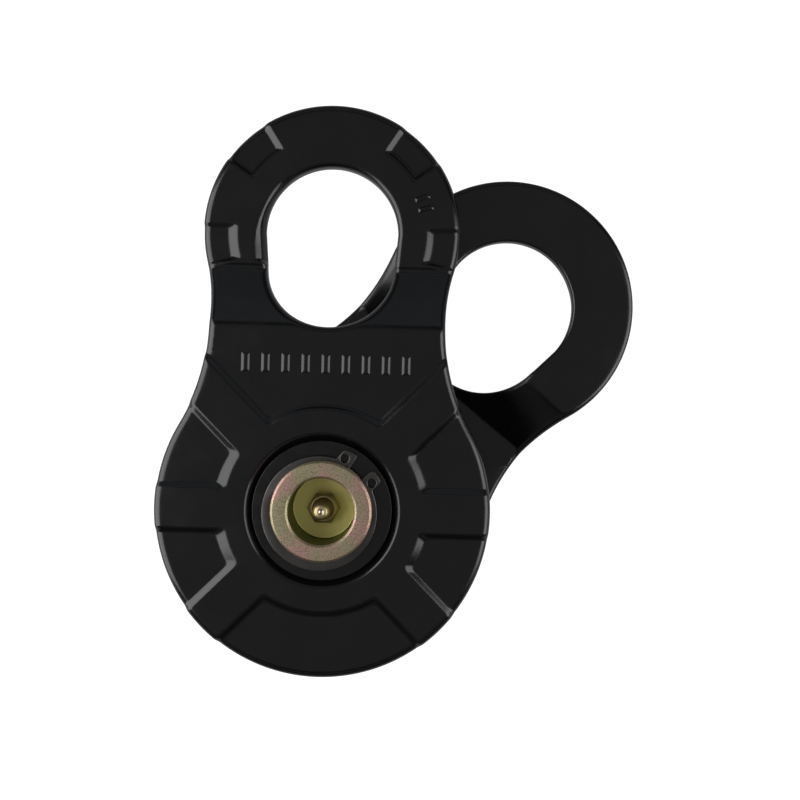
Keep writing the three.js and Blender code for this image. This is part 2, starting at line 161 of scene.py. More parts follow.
def grid_quads(rows: int, columns: int, around: bool, start: int = 0) -> np.ndarray:
    """Corner numbers of the quads in a grid of vertices that is stored row by row.

    Args:
        rows: vertices up the grid.
        columns: vertices along it.
        around: joins the last column to the first.
        start: number of the grid's first vertex.

    Returns:
        An array of four corners for each quad.
    """
    i = np.arange(rows - 1)[:, None]
    j = np.arange(columns if around else columns - 1)[None, :]
    k = (j + 1) % columns
    corners = [i * columns + j, i * columns + k, (i + 1) * columns + k, (i + 1) * columns + j]
    return np.stack(np.broadcast_arrays(*corners), -1).reshape(-1, 4) + start


def show(name: str, data: bpy.types.ID) -> Piece:
    """A new object in the scene for a mesh, a light or a camera.

    Args:
        name: the object's name.
        data: the mesh, light or camera.

    Returns:
        The object.
    """
    piece = bpy.data.objects.new(name, data)
    bpy.context.scene.collection.objects.link(piece)
    return piece


def clean(mesh: bpy.types.Mesh, distance: float) -> None:
    """Welds a mesh, turns its faces outwards and shades it smooth but for its sharp edges.

    Args:
        mesh: the mesh, changed in place.
        distance: points closer than this are joined, in metres.
    """
    work = bmesh.new()
    work.from_mesh(mesh)
    bmesh.ops.remove_doubles(work, verts=work.verts, dist=distance)
    bmesh.ops.dissolve_degenerate(work, edges=work.edges, dist=WELD)
    bmesh.ops.recalc_face_normals(work, faces=work.faces)
    work.to_mesh(mesh)
    work.free()
    mesh.shade_smooth()
    mesh.set_sharp_from_angle(angle=SMOOTH_ANGLE)


def make_mesh(name: str, parts: list[tuple[np.ndarray, np.ndarray]]) -> Piece:
    """One welded, closed mesh object from grids of points.

    Args:
        name: the piece's name.
        parts: pairs of points (n, 3), in millimetres from the mid-plane, and their quads.

    Returns:
        The object, in metres in the row's frame.
    """
    starts = np.cumsum([0] + [len(points) for points, _ in parts[:-1]])
    points = np.concatenate([p for p, _ in parts]).astype(np.float64)
    quads = np.concatenate([q + s for (_, q), s in zip(parts, starts)])
    points[:, 2] += MID_PLANE
    mesh = bpy.data.meshes.new(name)
    mesh.from_pydata(points * MM, [], quads)
    clean(mesh, WELD)
    return show(name, mesh)


def fillet(points: list[tuple[float, float, float]], steps: int = 5) -> np.ndarray:
    """A section with each corner rounded.

    At each corner an arc of the given radius touches both of its lines: it starts and ends
    radius / tan(half the corner's angle) from the corner, and that run is kept under half of
    either line.

    Args:
        points: (across, up, corner radius) round the section.
        steps: pieces in each arc.

    Returns:
        An array (n, 2) of (across, up).
    """
    longest_run = 0.49
    corners = np.array([p[:2] for p in points], float)
    radii = [p[2] for p in points]
    out = []
    for i, corner in enumerate(corners):
        back = corners[i - 1] - corner
        ahead = corners[(i + 1) % len(corners)] - corner
        lengths = np.linalg.norm(back), np.linalg.norm(ahead)
        if radii[i] <= 0 or min(lengths) < TINY:
            out.append(corner[None])
            continue
        back, ahead = back / lengths[0], ahead / lengths[1]
        half = math.acos(np.clip(back @ ahead, -1, 1)) / 2
        run = min(radii[i] / math.tan(half), longest_run * min(lengths))
        radius = run * math.tan(half)
        middle = (back + ahead) / np.linalg.norm(back + ahead)
        centre = corner + middle * math.hypot(run, radius)
        first, last = corner + back * run - centre, corner + ahead * run - centre
        sweep = math.pi - 2 * half
        turn = np.linspace(0, 1, steps + 1)[:, None]
        blend = np.sin((1 - turn) * sweep) * first + np.sin(turn * sweep) * last
        out.append(centre + blend / math.sin(sweep))
    return np.concatenate(out)


def revolve(section: np.ndarray, steps: int) -> tuple[np.ndarray, np.ndarray]:
    """A closed section of (radius, height) carried round the axle.

    Point (i, j) is (r_i cos a_j, r_i sin a_j, z_i), with a_j from 0 to a full turn.

    Args:
        section: an array (n, 2) that closes on itself.
        steps: columns round the axle.

    Returns:
        Points and quads.
    """
    angle = np.linspace(0, 2 * math.pi, steps, endpoint=False)
    ring = np.concatenate([section, section[:1]])
    r, z = ring[:, :1], ring[:, 1:]
    points = np.stack(np.broadcast_arrays(r * np.cos(angle), r * np.sin(angle), z), -1)
    return points.reshape(-1, 3), grid_quads(len(ring), steps, True)


def revolved(name: str, section: np.ndarray, side: Side) -> Piece:
    """A piece from a section carried round the axle.

    Args:
        name: the piece's name.
        section: an array (n, 2) of (radius, height) that closes on itself.
        side: a rear piece is the front one turned over.

    Returns:
        The object.
    """
    points, quads = revolve(section, ROUND_STEPS)
    if side is Side.REAR:
        points = points * TURNED_OVER
    return make_mesh(name, [(points, quads)])


def turned(name: str, section: list[tuple[float, float, float]], side: Side = Side.FRONT) -> Piece:
    """A turned piece from its section's (radius, height, corner radius) points."""
    return revolved(name, fillet(section), side)


def cut(piece: Piece, cutter: Piece) -> None:
    """Takes one closed piece out of another for good.

    Args:
        piece: the piece that is cut.
        cutter: what is taken out of it. It is deleted afterwards.
    """
    boolean = piece.modifiers.new("cut", "BOOLEAN")
    boolean.object = cutter
    boolean.operation = "DIFFERENCE"
    boolean.solver = "EXACT"
    bpy.context.view_layer.update()
    evaluated = piece.evaluated_get(bpy.context.evaluated_depsgraph_get())
    result = bpy.data.meshes.new_from_object(evaluated)
    piece.modifiers.clear()
    piece.data = result
    result.set_sharp_from_angle(angle=SMOOTH_ANGLE)
    bpy.data.objects.remove(cutter)


# ---- Finishes -----------------------------------------------------------------------------------


def add_node(
    tree: Tree, kind: str, settings: dict | None = None, links: dict | None = None
) -> bpy.types.Node:
    """Adds one node to a tree.

    Args:
        tree: the material's node tree.
        kind: the node's type name, after "ShaderNode".
        settings: attributes by name, or input values by socket name.
        links: output sockets to join, by input socket name or number.

    Returns:
        The node.
    """
    node = tree.nodes.new("ShaderNode" + kind)
    for key, value in (settings or {}).items():
        if hasattr(node, key):
            setattr(node, key, value)
        else:
            node.inputs[key].default_value = value
    for key, socket in (links or {}).items():
        tree.links.new(socket, node.inputs[key])
    return node


def new_material(name: str) -> tuple[bpy.types.Material, Tree]:
    """An empty node material.

    Args:
        name: the material's name.

    Returns:
        The material and its tree.
    """
    material = bpy.data.materials.new(name)
    material.use_nodes = True
    material.node_tree.nodes.clear()
    return material, material.node_tree


def surface(tree: Tree, settings: dict, links: dict) -> None:
    """Adds a material's principled shader and joins it to the output."""
    shader = add_node(tree, "BsdfPrincipled", settings, links)
    add_node(tree, "OutputMaterial", links={"Surface": shader.outputs[0]})


def mix_colours(tree: Tree, factor: Socket, low: Socket | str, high: str) -> Socket:
    """A colour between two others.

    Args:
        tree: the material's node tree.
        factor: 0 for the low colour, 1 for the high one.
        low: a hex colour, or a colour socket.
        high: a hex colour.

    Returns:
        The colour's socket.
    """
    low_input, high_input, colour_output = 6, 7, 2
    node = add_node(tree, "Mix", {"data_type": "RGBA"}, {"Factor": factor})
    if isinstance(low, str):
        node.inputs[low_input].default_value = linear(low)
    else:
        tree.links.new(low, node.inputs[low_input])
    node.inputs[high_input].default_value = linear(high)
    return node.outputs[colour_output]


def span(
    tree: Tree, value: Socket, low: float, high: float, to_low: float = 0.0, to_high: float = 1.0
) -> Socket:
    """A value mapped from one range to another and kept inside it."""
    settings = {"From Min": low, "From Max": high, "To Min": to_low, "To Max": to_high}
    return add_node(tree, "MapRange", settings, {"Value": value}).outputs[0]


def varied(tree: Tree, value: Socket, low: float, high: float) -> Socket:
    """A noise's usual range, 0.3 to 0.7, mapped to another."""
    return span(tree, value, 0.3, 0.7, low, high)


def noise(tree: Tree, pitch: float, detail: float, rough: float = 0.5) -> Socket:
    """Noise on Object coordinates.

    Args:
        tree: the material's node tree.
        pitch: distance between its features, in millimetres.
        detail: how many finer layers it has.
        rough: how strong the finer layers are.

    Returns:
        The noise's value.
    """
    place = add_node(tree, "TexCoord").outputs["Object"]
    settings = {"Scale": 1 / (pitch * MM), "Detail": detail, "Roughness": rough}
    return add_node(tree, "TexNoise", settings, {"Vector": place}).outputs["Fac"]


def bump(tree: Tree, height: Socket, depth: float, below: Socket | None = None) -> Socket:
    """A bumped normal.

    Args:
        tree: the material's node tree.
        height: a value from 0 to 1.
        depth: what a height of 1 stands for, in millimetres.
        below: a normal to add the bump to.

    Returns:
        The normal's socket.
    """
    links = {"Height": height} | ({} if below is None else {"Normal": below})
    return add_node(tree, "Bump", {"Strength": 1.0, "Distance": depth * MM}, links).outputs[0]


@dataclass(frozen=True)
class PowderCoat:
    """Polyester powder coat, sprayed on blasted steel and baked: black, glossy, faintly orange-peeled.

    The eye sees near-black faces, and sharp white lines where a wall turns to a light, broken a
    little by the peel. Dust and a few dull spots keep wide faces from looking like glass.
    """

    name: str = "baked_polyester_powder_coat"
    slot: str = "black_powder_coat"
    base: str = "#080809"
    dusty: str = "#161616"
    roughness: float = 0.2
    peel_pitch: float = 2.2
    peel_depth: float = 0.012
    swell_pitch: float = 11.0
    swell_depth: float = 0.05
    grain_pitch: float = 0.45
    grain_depth: float = 0.0025
    patch_pitch: float = 16.0

    def material(self) -> bpy.types.Material:
        """The node material: dust specks on the base, dull patches, and three depths of bump.

        Returns:
            The material.
        """
        material, tree = new_material(self.name)
        peel = noise(tree, self.peel_pitch, 2.0)
        swell = noise(tree, self.swell_pitch, 1.0)
        grain = noise(tree, self.grain_pitch, 2.0)
        patches = noise(tree, self.patch_pitch, 4.0, 0.6)
        specks = span(tree, grain, 0.66, 0.74)
        normal = bump(tree, swell, self.swell_depth)
        normal = bump(tree, peel, self.peel_depth, normal)
        links = {
            "Base Color": mix_colours(tree, specks, self.base, self.dusty),
            "Roughness": varied(tree, patches, self.roughness - 0.04, self.roughness + 0.07),
            "Normal": bump(tree, grain, self.grain_depth, normal),
        }
        surface(tree, {"IOR": 1.5, "Metallic": 0.0}, links)
        return material


@dataclass(frozen=True)
class YellowZinc:
    """Electroplated zinc with a yellow chromate passivate on turned and tumbled steel.

    The eye sees pale rose-straw with a fine grit of olive, turning rings from the lathe, and a
    deeper olive in the counterbore, where the passivate dried thick. That olive is also painted
    much lighter than the face, as painted fill light for a well that the lamps hardly reach, and
    a darker green band lies on the well's wall and round its floor's edge.
    """

    name: str = "yellow_chromated_zinc_plate"
    slot: str = "yellow_zinc"
    rose: str = "#cda79c"
    straw: str = "#b8ad8e"
    grit: str = "#5b583a"
    olive_and_painted_light: str = "#e6d98a"
    green: str = "#7a8250"
    roughness: float = 0.46
    ring_pitch: float = 0.5
    patch_pitch: float = 11.0
    grit_pitch: float = 0.5
    counterbore_radius: float = 12.5

    def material(self) -> bpy.types.Material:
        """The node material: two tones and grit on the face, two greens in the counterbore, the
        lighter of them partly painted light.

        Returns:
            The material.
        """
        material, tree = new_material(self.name)
        place = add_node(tree, "TexCoord").outputs["Object"]
        axes = add_node(tree, "SeparateXYZ", links={"Vector": place})
        flat = add_node(tree, "CombineXYZ", links={"X": axes.outputs["X"], "Y": axes.outputs["Y"]})
        length = add_node(tree, "VectorMath", {"operation": "LENGTH"}, {0: flat.outputs[0]})
        radius = length.outputs["Value"]
        patches = noise(tree, self.patch_pitch, 2.0)
        grit = noise(tree, self.grit_pitch, 3.0, 0.7)
        wave_settings = {
            "wave_type": "RINGS",
            "rings_direction": "Z",
            "Scale": RING_WIDTH / (self.ring_pitch * MM),
            "Distortion": 0.6,
            "Detail": 2.0,
        }
        rings = add_node(tree, "TexWave", wave_settings, {"Vector": place}).outputs["Fac"]
        well = self.counterbore_radius * MM
        in_well = span(tree, radius, well, well + 0.1 * MM, 1.0, 0.0)
        on_wall = span(tree, radius, well - 0.6 * MM, well - 0.3 * MM)
        wall = add_node(tree, "Math", {"operation": "MULTIPLY"}, {0: in_well, 1: on_wall}).outputs[0]
        colour = mix_colours(tree, span(tree, patches, 0.4, 0.6), self.rose, self.straw)
        colour = mix_colours(tree, span(tree, grit, 0.46, 0.66, 0.0, 0.8), colour, self.grit)
        # the counterbore is painted a light olive: its own tint, plus painted fill light for the deep
        # well's floor
        colour = mix_colours(tree, in_well, colour, self.olive_and_painted_light)
        links = {
            "Base Color": mix_colours(tree, wall, colour, self.green),
            "Roughness": varied(tree, grit, self.roughness - 0.08, self.roughness + 0.1),
            "Normal": bump(tree, grit, 0.02, bump(tree, rings, 0.003)),
        }
        surface(tree, {"Metallic": 1.0}, links)
        return material


@dataclass(frozen=True)
class PlainMetal:
    """A plain finish between two close tones, with fine grain and slow changes in its gloss."""

    name: str
    slot: str
    tone: str
    shade: str
    roughness: float
    metallic: float = 1.0
    grain_pitch: float = 0.8
    grain_depth: float = 0.004
    patch_pitch: float = 6.0

    def material(self) -> bpy.types.Material:
        """The node material: patches between tone and shade, which change the gloss too.

        Returns:
            The material.
        """
        material, tree = new_material(self.name)
        grain = noise(tree, self.grain_pitch, 3.0, 0.6)
        patches = noise(tree, self.patch_pitch, 3.0)
        links = {
            "Base Color": mix_colours(tree, varied(tree, patches, 0.0, 1.0), self.tone, self.shade),
            "Roughness": varied(tree, patches, self.roughness - 0.05, self.roughness + 0.08),
            "Normal": bump(tree, grain, self.grain_depth),
        }
        surface(tree, {"Metallic": self.metallic}, links)
        return material


# Hot blackened spring steel, oiled: dark grey and satin.
CLIP_STEEL = PlainMetal("blackened_spring_steel", "black_oxide", "#62605e", "#4c4a48", 0.34)
# Pressed washer, blackened and oiled: as dark as the coat round it, with no metal shine.
DARK_WASHER = PlainMetal("oiled_black_oxide_pressing", "black_oxide", "#050505", "#030303", 0.24, 0.0)
# Free-cutting brass, turned and milled: warm yellow with a satin face.
BRASS = PlainMetal(
    "turned_free_cutting_brass", "nipple_brass", "#cdbb92", "#b0966a", 0.4, grain_pitch=0.5
)
# Polished bearing ball and drawn spring wire: near-mirror grey.
BRIGHT_STEEL = PlainMetal(
    "polished_bearing_steel", "bright_steel", "#d8d8d6", "#c4c4c2", 0.14, grain_depth=0.001
)
# Forged wheel, phosphated: charcoal grey and matt.
SHEAVE_STEEL = PlainMetal(
    "phosphated_forged_steel", "sheave_steel", "#4a4b4c", "#38393a", 0.45, 0.9, 1.2, 0.01
)
# Sintered bronze, oil-filled: warm brown, fine-grained.
BRONZE = PlainMetal("sintered_oil_filled_bronze", "bronze", "#a9743f", "#8a5a2f", 0.36, grain_pitch=0.4)
# Moulded nitrile rubber: matt black.
NITRILE = PlainMetal("moulded_nitrile_rubber", "nitrile", "#141414", "#1a1a1a", 0.6, 0.0)
# Zinc-plated pressed washers: mid grey, satin.
WASHER_STEEL = PlainMetal("zinc_plated_pressed_steel", "washer_steel", "#8f9191", "#77797a", 0.34)


# ---- Cheek plates -------------------------------------------------------------------------------


@dataclass
class CheekPlate:
    """A pressed cheek: disc, joggled neck and eye, with a raised hub ring, spokes and eye ring.

    Heights are above the mid-plane with the outer face up and the eye towards +Y. The plate is
    two rings of columns, one round the bore and one round the eye's hole, that share the points
    of a straight seam across the neck.
    """

    side: Side
    swing: float = 0.0
    eye_spacing: float = 107.0
    neck_half_width: float = 45.0
    hole_radius: float = 26.0
    hole_inner_radius: float = 25.0
    hole_length: float = 12.5
    thickness: float = 6.0
    eye_split: float = 0.5
    slope: float = math.radians(29)
    joggle_start: float = 69.6
    bend_radius: float = 5.0
    relief: float = 1.6
    ring_wall: float = 4.0
    ring_wall_end: float = 2.0
    spoke_width: float = 17.0
    spoke_wall: float = 2.2
    spokes: tuple[float, ...] = (0.0, 45.0, 135.0, 180.0, 225.0, 315.0)
    eye_relief: float = 1.5
    pocket_radius: float = 38.5
    pockets: tuple[tuple[float, ...], ...] = ((-16.0, 2.5, 3.4, 1.9), (34.5, 57.0, 1.9, 2.2))
    pocket_lower_wall: float = 1.9
    pocket_corner: float = 0.5
    spoke_corner: float = 0.7
    seat_floor_radius: float = 26.6
    seat_radius: float = 29.0
    seat_depth: float = 3.0
    seat_ease: float = 0.4
    ring_radius: float = 39.0
    outer_round: float = 3.0
    hole_round: float = 2.4
    lip_width: float = 4.6
    lip_slope: float = 0.6
    lip_edge: float = 2.2
    lip_edge_slope: float = 0.45
    inner_round: float = 2.0
    hole_inner_round: float = 1.2
    seam: float = 62.0
    bar_count: int = 9
    bar_pitch: float = 7.6
    bar_width: float = 4.4
    bar_length: float = 8.9
    bar_height: float = 0.6
    bar_draft: float = 1.3
    bar_setback: float = 11.3
    eye_bars_radius: float = 38.0
    eye_bars_angle: float = 19.0
    eye_bars_gap: float = 4.4
    bore_radius: float = RUNNING_RADIUS
    eye_bar_size: tuple[float, float] = (7.4, 3.5)
    bar_foot: float = 0.25
    seam_columns: int = 110
    seam_lean: float = 1.25
    outer_steps: int = 7
    inner_steps: int = 3
    hole_steps: int = 6
    disc_radius: float = field(init=False)
    eye_radius: float = field(init=False)
    hub_face: float = field(init=False)
    panel: float = field(init=False)
    eye_face: float = field(init=False)
    first_bend: float = field(init=False)
    joggle_end: float = field(init=False)
    last_bend: float = field(init=False)
    side_radius: float = field(init=False)
    side_centre: tuple[float, float] = field(init=False)

    def __post_init__(self) -> None:
        """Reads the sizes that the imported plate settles."""
        low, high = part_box("front_cheek_plate")
        self.disc_radius = -low.y / MM
        self.eye_radius = high.y / MM - self.eye_spacing
        self.hub_face = high.z / MM - MID_PLANE
        self.panel = self.hub_face - self.relief
        self.eye_face = self.eye_split / 2 + self.thickness
        outer = self.bend_radius + self.thickness
        half = math.tan(self.slope / 2)
        self.first_bend = self.joggle_start - outer * half
        self.joggle_end = self.joggle_start + (self.panel - self.eye_face) / math.tan(self.slope)
        self.last_bend = self.joggle_end + self.bend_radius * half
        self._find_side_round()

    def _find_side_round(self) -> None:
        """The side fillet touches the disc, the eye and the neck's width.

        Its centre is (w + r, y) with (w + r)^2 + y^2 = (a + r)^2 and (w + r)^2 + (l - y)^2 =
        (b + r)^2, and r is found by halving.
        """
        w, a, b, l = self.neck_half_width, self.disc_radius, self.eye_radius, self.eye_spacing
        low, high, halvings = 1.0, 2000.0, 80
        for _ in range(halvings):
            r = (low + high) / 2
            rise = math.sqrt((a + r) ** 2 - (w + r) ** 2) + math.sqrt((b + r) ** 2 - (w + r) ** 2)
            low, high = (low, r) if rise > l else (r, high)
        self.side_radius = r
        self.side_centre = (w + r, math.sqrt((a + r) ** 2 - (w + r) ** 2))

    # Distances

    def inside_outline(self, x: np.ndarray, y: np.ndarray) -> np.ndarray:
        """Distance in from the outline.

        It is taken from the side fillet between its two touching points, and from the disc or
        the eye's circle beyond them.

        Args:
            x: across the plate.
            y: along it.

        Returns:
            Distances in millimetres, shaped as x.
        """
        x = np.abs(x)
        fx, fy = self.side_centre
        dx, dy = x - fx, y - fy
        past_disc = -fx * dy + fy * dx < 0
        past_eye = dx * (self.eye_spacing - fy) + fx * dy < 0
        disc = self.disc_radius - np.hypot(x, y)
        eye = self.eye_radius - np.hypot(x, y - self.eye_spacing)
        fillet_side = np.hypot(dx, dy) - self.side_radius
        return np.where(past_disc & past_eye, fillet_side, np.where(past_disc, eye, disc))

    def outside_hole(self, x: np.ndarray, y: np.ndarray) -> np.ndarray:
        """Distance out from the obround hole: two circles and the straights between them.

        Args:
            x: across the plate.
            y: along it.

        Returns:
            Distances in millimetres, shaped as x.
        """
        near = self.eye_spacing - self.hole_length
        along = np.clip((y - near) / self.hole_length, 0, 1)
        wider = self.hole_radius - self.hole_inner_radius
        radius = self.hole_inner_radius + wider * along
        return np.hypot(x, y - near - along * self.hole_length) - radius

    # Heights

    def joggle(self, y: np.ndarray, top: bool) -> np.ndarray:
        """Height of the plain bent plate: flat, an arc, a slope, an arc and flat again.

        Args:
            y: distance from the axle along the plate.
            top: the outer face, or else the inner one.

        Returns:
            Heights above the mid-plane, shaped as y.
        """
        small, big = self.bend_radius, self.bend_radius + self.thickness
        first, last = (big, small) if top else (small, big)
        sine = math.sin(self.slope)
        past_first = np.clip(y - self.first_bend, 0, first * sine)
        before_last = np.clip(self.last_bend - y, 0, last * sine)
        high = self.panel - big + np.sqrt(first**2 - past_first**2)
        low = self.eye_face + small - np.sqrt(last**2 - before_last**2)
        straight = high - np.maximum(y - self.first_bend - first * sine, 0) * math.tan(self.slope)
        return np.where(y > self.last_bend - last * sine, low, straight)

    def hub_relief(self, x: np.ndarray, y: np.ndarray) -> np.ndarray:
        """Share of the relief's height: 1 on the hub ring and spokes, 0 in the panels.

        Each wall is a straight draft in the distance from its own middle line, and the ring's
        and the spokes' drafts hand over in a rounded corner.

        Args:
            x: across the plate.
            y: along it.

        Returns:
            Shares from 0 to 1, shaped as x.
        """
        radius = np.hypot(x, y)
        sideways = (x / np.maximum(radius, TINY)) ** 2
        wall = self.ring_wall_end + (self.ring_wall - self.ring_wall_end) * sideways
        rise = 0.5 - (radius - self.ring_radius) / wall
        far_below = -9.0
        for turn in self.spokes:
            c, s = math.cos(math.radians(turn)), math.sin(math.radians(turn))
            along, across = x * c + y * s, np.abs(y * c - x * s)
            band = 0.5 - (across - self.spoke_width / 2) / self.spoke_wall
            band = np.where(along > 0, band, far_below)
            rise = soft_max(rise, band, self.spoke_corner)
        before_bend = 0.5 - (y - self.first_bend) / self.spoke_wall
        return ramp(np.minimum(rise, before_bend))

    def eye_ring(self, x: np.ndarray, y: np.ndarray) -> np.ndarray:
        """Share of the eye's relief: 1 past the joggle, 0 in the four pockets at its rim.

        A pocket is (start, end, inner wall's width, upper wall's width): degrees round the eye
        from +X, mirrored to both sides, and millimetres.

        Args:
            x: across the plate.
            y: along it.

        Returns:
            Shares from 0 to 1, shaped as x.
        """
        dx, dy = np.abs(x), y - self.eye_spacing
        radius, angle = np.hypot(dx, dy), np.arctan2(dy, dx)
        depth = np.zeros_like(radius)
        blend = self.pocket_corner
        for start, end, inner_wall, upper_wall in self.pockets:
            inner = (radius - self.pocket_radius) / inner_wall + 0.5
            lower = (angle - math.radians(start)) * radius / self.pocket_lower_wall + 0.5
            upper = (math.radians(end) - angle) * radius / upper_wall + 0.5
            pocket = -soft_max(soft_max(-inner, -lower, blend), -upper, blend)
            depth = np.maximum(depth, ramp(pocket))
        return ramp((y - self.joggle_end) / self.spoke_wall + 0.5) * (1 - depth)

    def top(self, x: np.ndarray, y: np.ndarray) -> np.ndarray:
        """Height of the outer face: joggle, relief, seat and rounded edges.

        Args:
            x: across the plate.
            y: along it.

        Returns:
            Heights above the mid-plane, shaped as x.
        """
        z = self.joggle(y, True)
        z = z + self.relief * self.hub_relief(x, y) + self.eye_relief * self.eye_ring(x, y)
        radius = np.hypot(x, y)
        run = self.seat_radius - self.seat_floor_radius
        seat = self.seat_depth * (1 - ramp((radius - self.seat_floor_radius) / run, self.seat_ease))
        z = z - seat
        z = z - drop(self.inside_outline(x, y), self.outer_round)
        from_hole = self.outside_hole(x, y)
        return z - drop(from_hole, self.hole_round) - self.lip(x, y, from_hole)

    def lip(self, x: np.ndarray, y: np.ndarray, from_hole: np.ndarray) -> np.ndarray:
        """Drop of the dressed flat beside the hole, where the shackle bears on its -X side.

        It is the slope times the distance in from the lip's border, and the same again with the
        edge's own slope and width. Both narrow higher up the hole, and the edge goes to nothing.

        Args:
            x: across the plate.
            y: along it.
            from_hole: distance out from the hole.

        Returns:
            Drops in millimetres, shaped as x.
        """
        full_width_to, edge_to = 1.75, 2.2  # shares of the way from the joggle to the eye's middle
        along = (y - self.joggle_end) / (self.eye_spacing - self.joggle_end)
        side = ramp(-x / self.hole_radius * 4 - 2) * ramp(along * 6)
        width = self.lip_edge + (self.lip_width - self.lip_edge) * ramp(full_width_to - along)
        edge = self.lip_edge * side * ramp(edge_to - along)
        flat = self.lip_slope * np.maximum(width * side - from_hole, 0)
        return flat + self.lip_edge_slope * np.maximum(edge - from_hole, 0)

    def bottom(self, x: np.ndarray, y: np.ndarray) -> np.ndarray:
        """Height of the inner face, with its smaller rounded edges.

        Args:
            x: across the plate.
            y: along it.

        Returns:
            The heights, in millimetres.
        """
        z = self.joggle(y, False)
        z = z + drop(self.inside_outline(x, y), self.inner_round)
        return z + drop(self.outside_hole(x, y), self.hole_inner_round)

    # Columns

    def seam_points(self) -> np.ndarray:
        """Points of the seam, closer near both ends.

        Returns:
            An array (n, 2), from the outline's right to its left.
        """
        fx, fy = self.side_centre
        half = fx - math.sqrt(self.side_radius**2 - (self.seam - fy) ** 2)
        near_end = edge_rows(self.outer_round, self.outer_steps)
        lean = np.linspace(self.seam_lean, -self.seam_lean, self.seam_columns)[1:-1]
        middle = (half - self.outer_round) * np.sin(lean) / math.sin(self.seam_lean)
        x = np.concatenate([half - near_end, middle, near_end[::-1] - half])
        return np.stack([x, np.full_like(x, self.seam)], -1)

    def arc(
        self, centre: tuple[float, float], radius: float, start: float, end: float
    ) -> np.ndarray:
        """Fine points along an arc, without its last one.

        Args:
            centre: its centre.
            radius: its radius.
            start: angle of its first point, in radians.
            end: angle of its last one.

        Returns:
            An array (n, 2).
        """
        apart = 0.25
        steps = max(int(abs(end - start) * radius / apart), 2)
        angle = np.linspace(start, end, steps, endpoint=False)
        return np.stack([centre[0] + radius * np.cos(angle), centre[1] + radius * np.sin(angle)], -1)

    def outline(self, below: bool) -> np.ndarray:
        """Fine points of the outline on one side of the seam, from seam end to seam end.

        Args:
            below: the disc's side of the seam, or else the eye's.

        Returns:
            An array (n, 2).
        """
        fx, fy = self.side_centre
        at_disc = math.atan2(fy, fx)
        at_eye = math.atan2(self.eye_spacing - fy, fx)
        at_seam = math.asin((self.seam - fy) / self.side_radius)
        r = self.side_radius
        if below:
            # from the seam's left end, down the left fillet, round the disc and up to the right
            return np.concatenate(
                [
                    self.arc((-fx, fy), r, at_seam, -at_disc),
                    self.arc((0, 0), self.disc_radius, math.pi - at_disc, 2 * math.pi + at_disc),
                    self.arc((fx, fy), r, math.pi + at_disc, math.pi - at_seam),
                    [[fx - r * math.cos(at_seam), self.seam]],
                ]
            )
        centre = (0, self.eye_spacing)
        return np.concatenate(
            [
                self.arc((fx, fy), r, math.pi - at_seam, math.pi - at_eye),
                self.arc(centre, self.eye_radius, -at_eye, math.pi + at_eye),
                self.arc((-fx, fy), r, at_eye, at_seam),
                [[-fx + r * math.cos(at_seam), self.seam]],
            ]
        )

    def spaced(self, points: np.ndarray, coarse: float, below: bool) -> np.ndarray:
        """Points along a fine outline, three times closer where a relief wall crosses it.

        Args:
            points: the fine outline.
            coarse: spacing in millimetres away from the walls.
            below: the disc's side of the seam, or else the eye's.

        Returns:
            The chosen points, with both ends kept.
        """
        x, y = points[:, 0], points[:, 1]
        share = (self.hub_relief if below else self.eye_ring)(x, y)
        change = np.abs(np.gradient(share))
        window, least, times_closer = 41, 1e-4, 3.0
        wide = np.convolve(change, np.ones(window), "same") > least
        lengths = np.linalg.norm(np.diff(points, axis=0), axis=1)
        steps = lengths * (1 + (times_closer - 1) * wide[1:])
        run = np.concatenate([[0], np.cumsum(steps)])
        goal = np.linspace(0, run[-1], int(run[-1] / coarse) + 1)
        return np.stack([np.interp(goal, run, x), np.interp(goal, run, y)], -1)

    def ring(
        self,
        rim: np.ndarray,
        around: tuple[float, float],
        inner: Callable[[np.ndarray], np.ndarray],
        stations: np.ndarray,
    ) -> np.ndarray:
        """Grid of (x, y) between an inner edge and a rim, along straight columns.

        Args:
            rim: the rim's points, one for each column.
            around: the point that all columns run from.
            inner: gives the inner edge's radius for an array of angles.
            stations: rows of (share of the way, millimetres added), where the way runs from
                the inner edge to the rim.

        Returns:
            An array (rows, columns, 2).
        """
        away = rim - around
        length = np.linalg.norm(away, axis=1)
        start = inner(np.arctan2(away[:, 1], away[:, 0]))
        along = start + (length - start) * stations[:, :1] + stations[:, 1:]
        return np.asarray(around) + along[..., None] * (away / length[:, None])

    def stations(self, inner: list[np.ndarray], between: int, outer: np.ndarray) -> np.ndarray:
        """Rows at fixed distances from the inner edge, then evenly spread, then at fixed
        distances from the rim.

        Args:
            inner: distances out from the inner edge.
            between: rows between the two fixed groups.
            outer: distances in from the rim, smallest first.

        Returns:
            Rows of (share, millimetres).
        """
        near = np.unique(np.concatenate(inner))
        share = np.linspace(0, 1, between + 2)
        spread = np.stack([share, near[-1] * (1 - share) - outer[-1] * share], -1)
        return np.concatenate(
            [
                np.stack([np.zeros_like(near), near], -1)[:-1],
                spread,
                np.stack([np.ones_like(outer), -outer], -1)[::-1][1:],
            ]
        )

    def hole_inner(self, angle: np.ndarray) -> np.ndarray:
        """Distance from the hole's middle to its edge in each direction, by halving.

        Args:
            angle: directions in radians.

        Returns:
            Distances in millimetres, shaped as angle.
        """
        middle, halvings = self.eye_spacing - self.hole_length / 2, 60
        low, high = np.full_like(angle, 5.0), np.full_like(angle, 60.0)
        for _ in range(halvings):
            r = (low + high) / 2
            out = self.outside_hole(r * np.cos(angle), middle + r * np.sin(angle)) > 0
            low, high = np.where(out, low, r), np.where(out, r, high)
        return (low + high) / 2

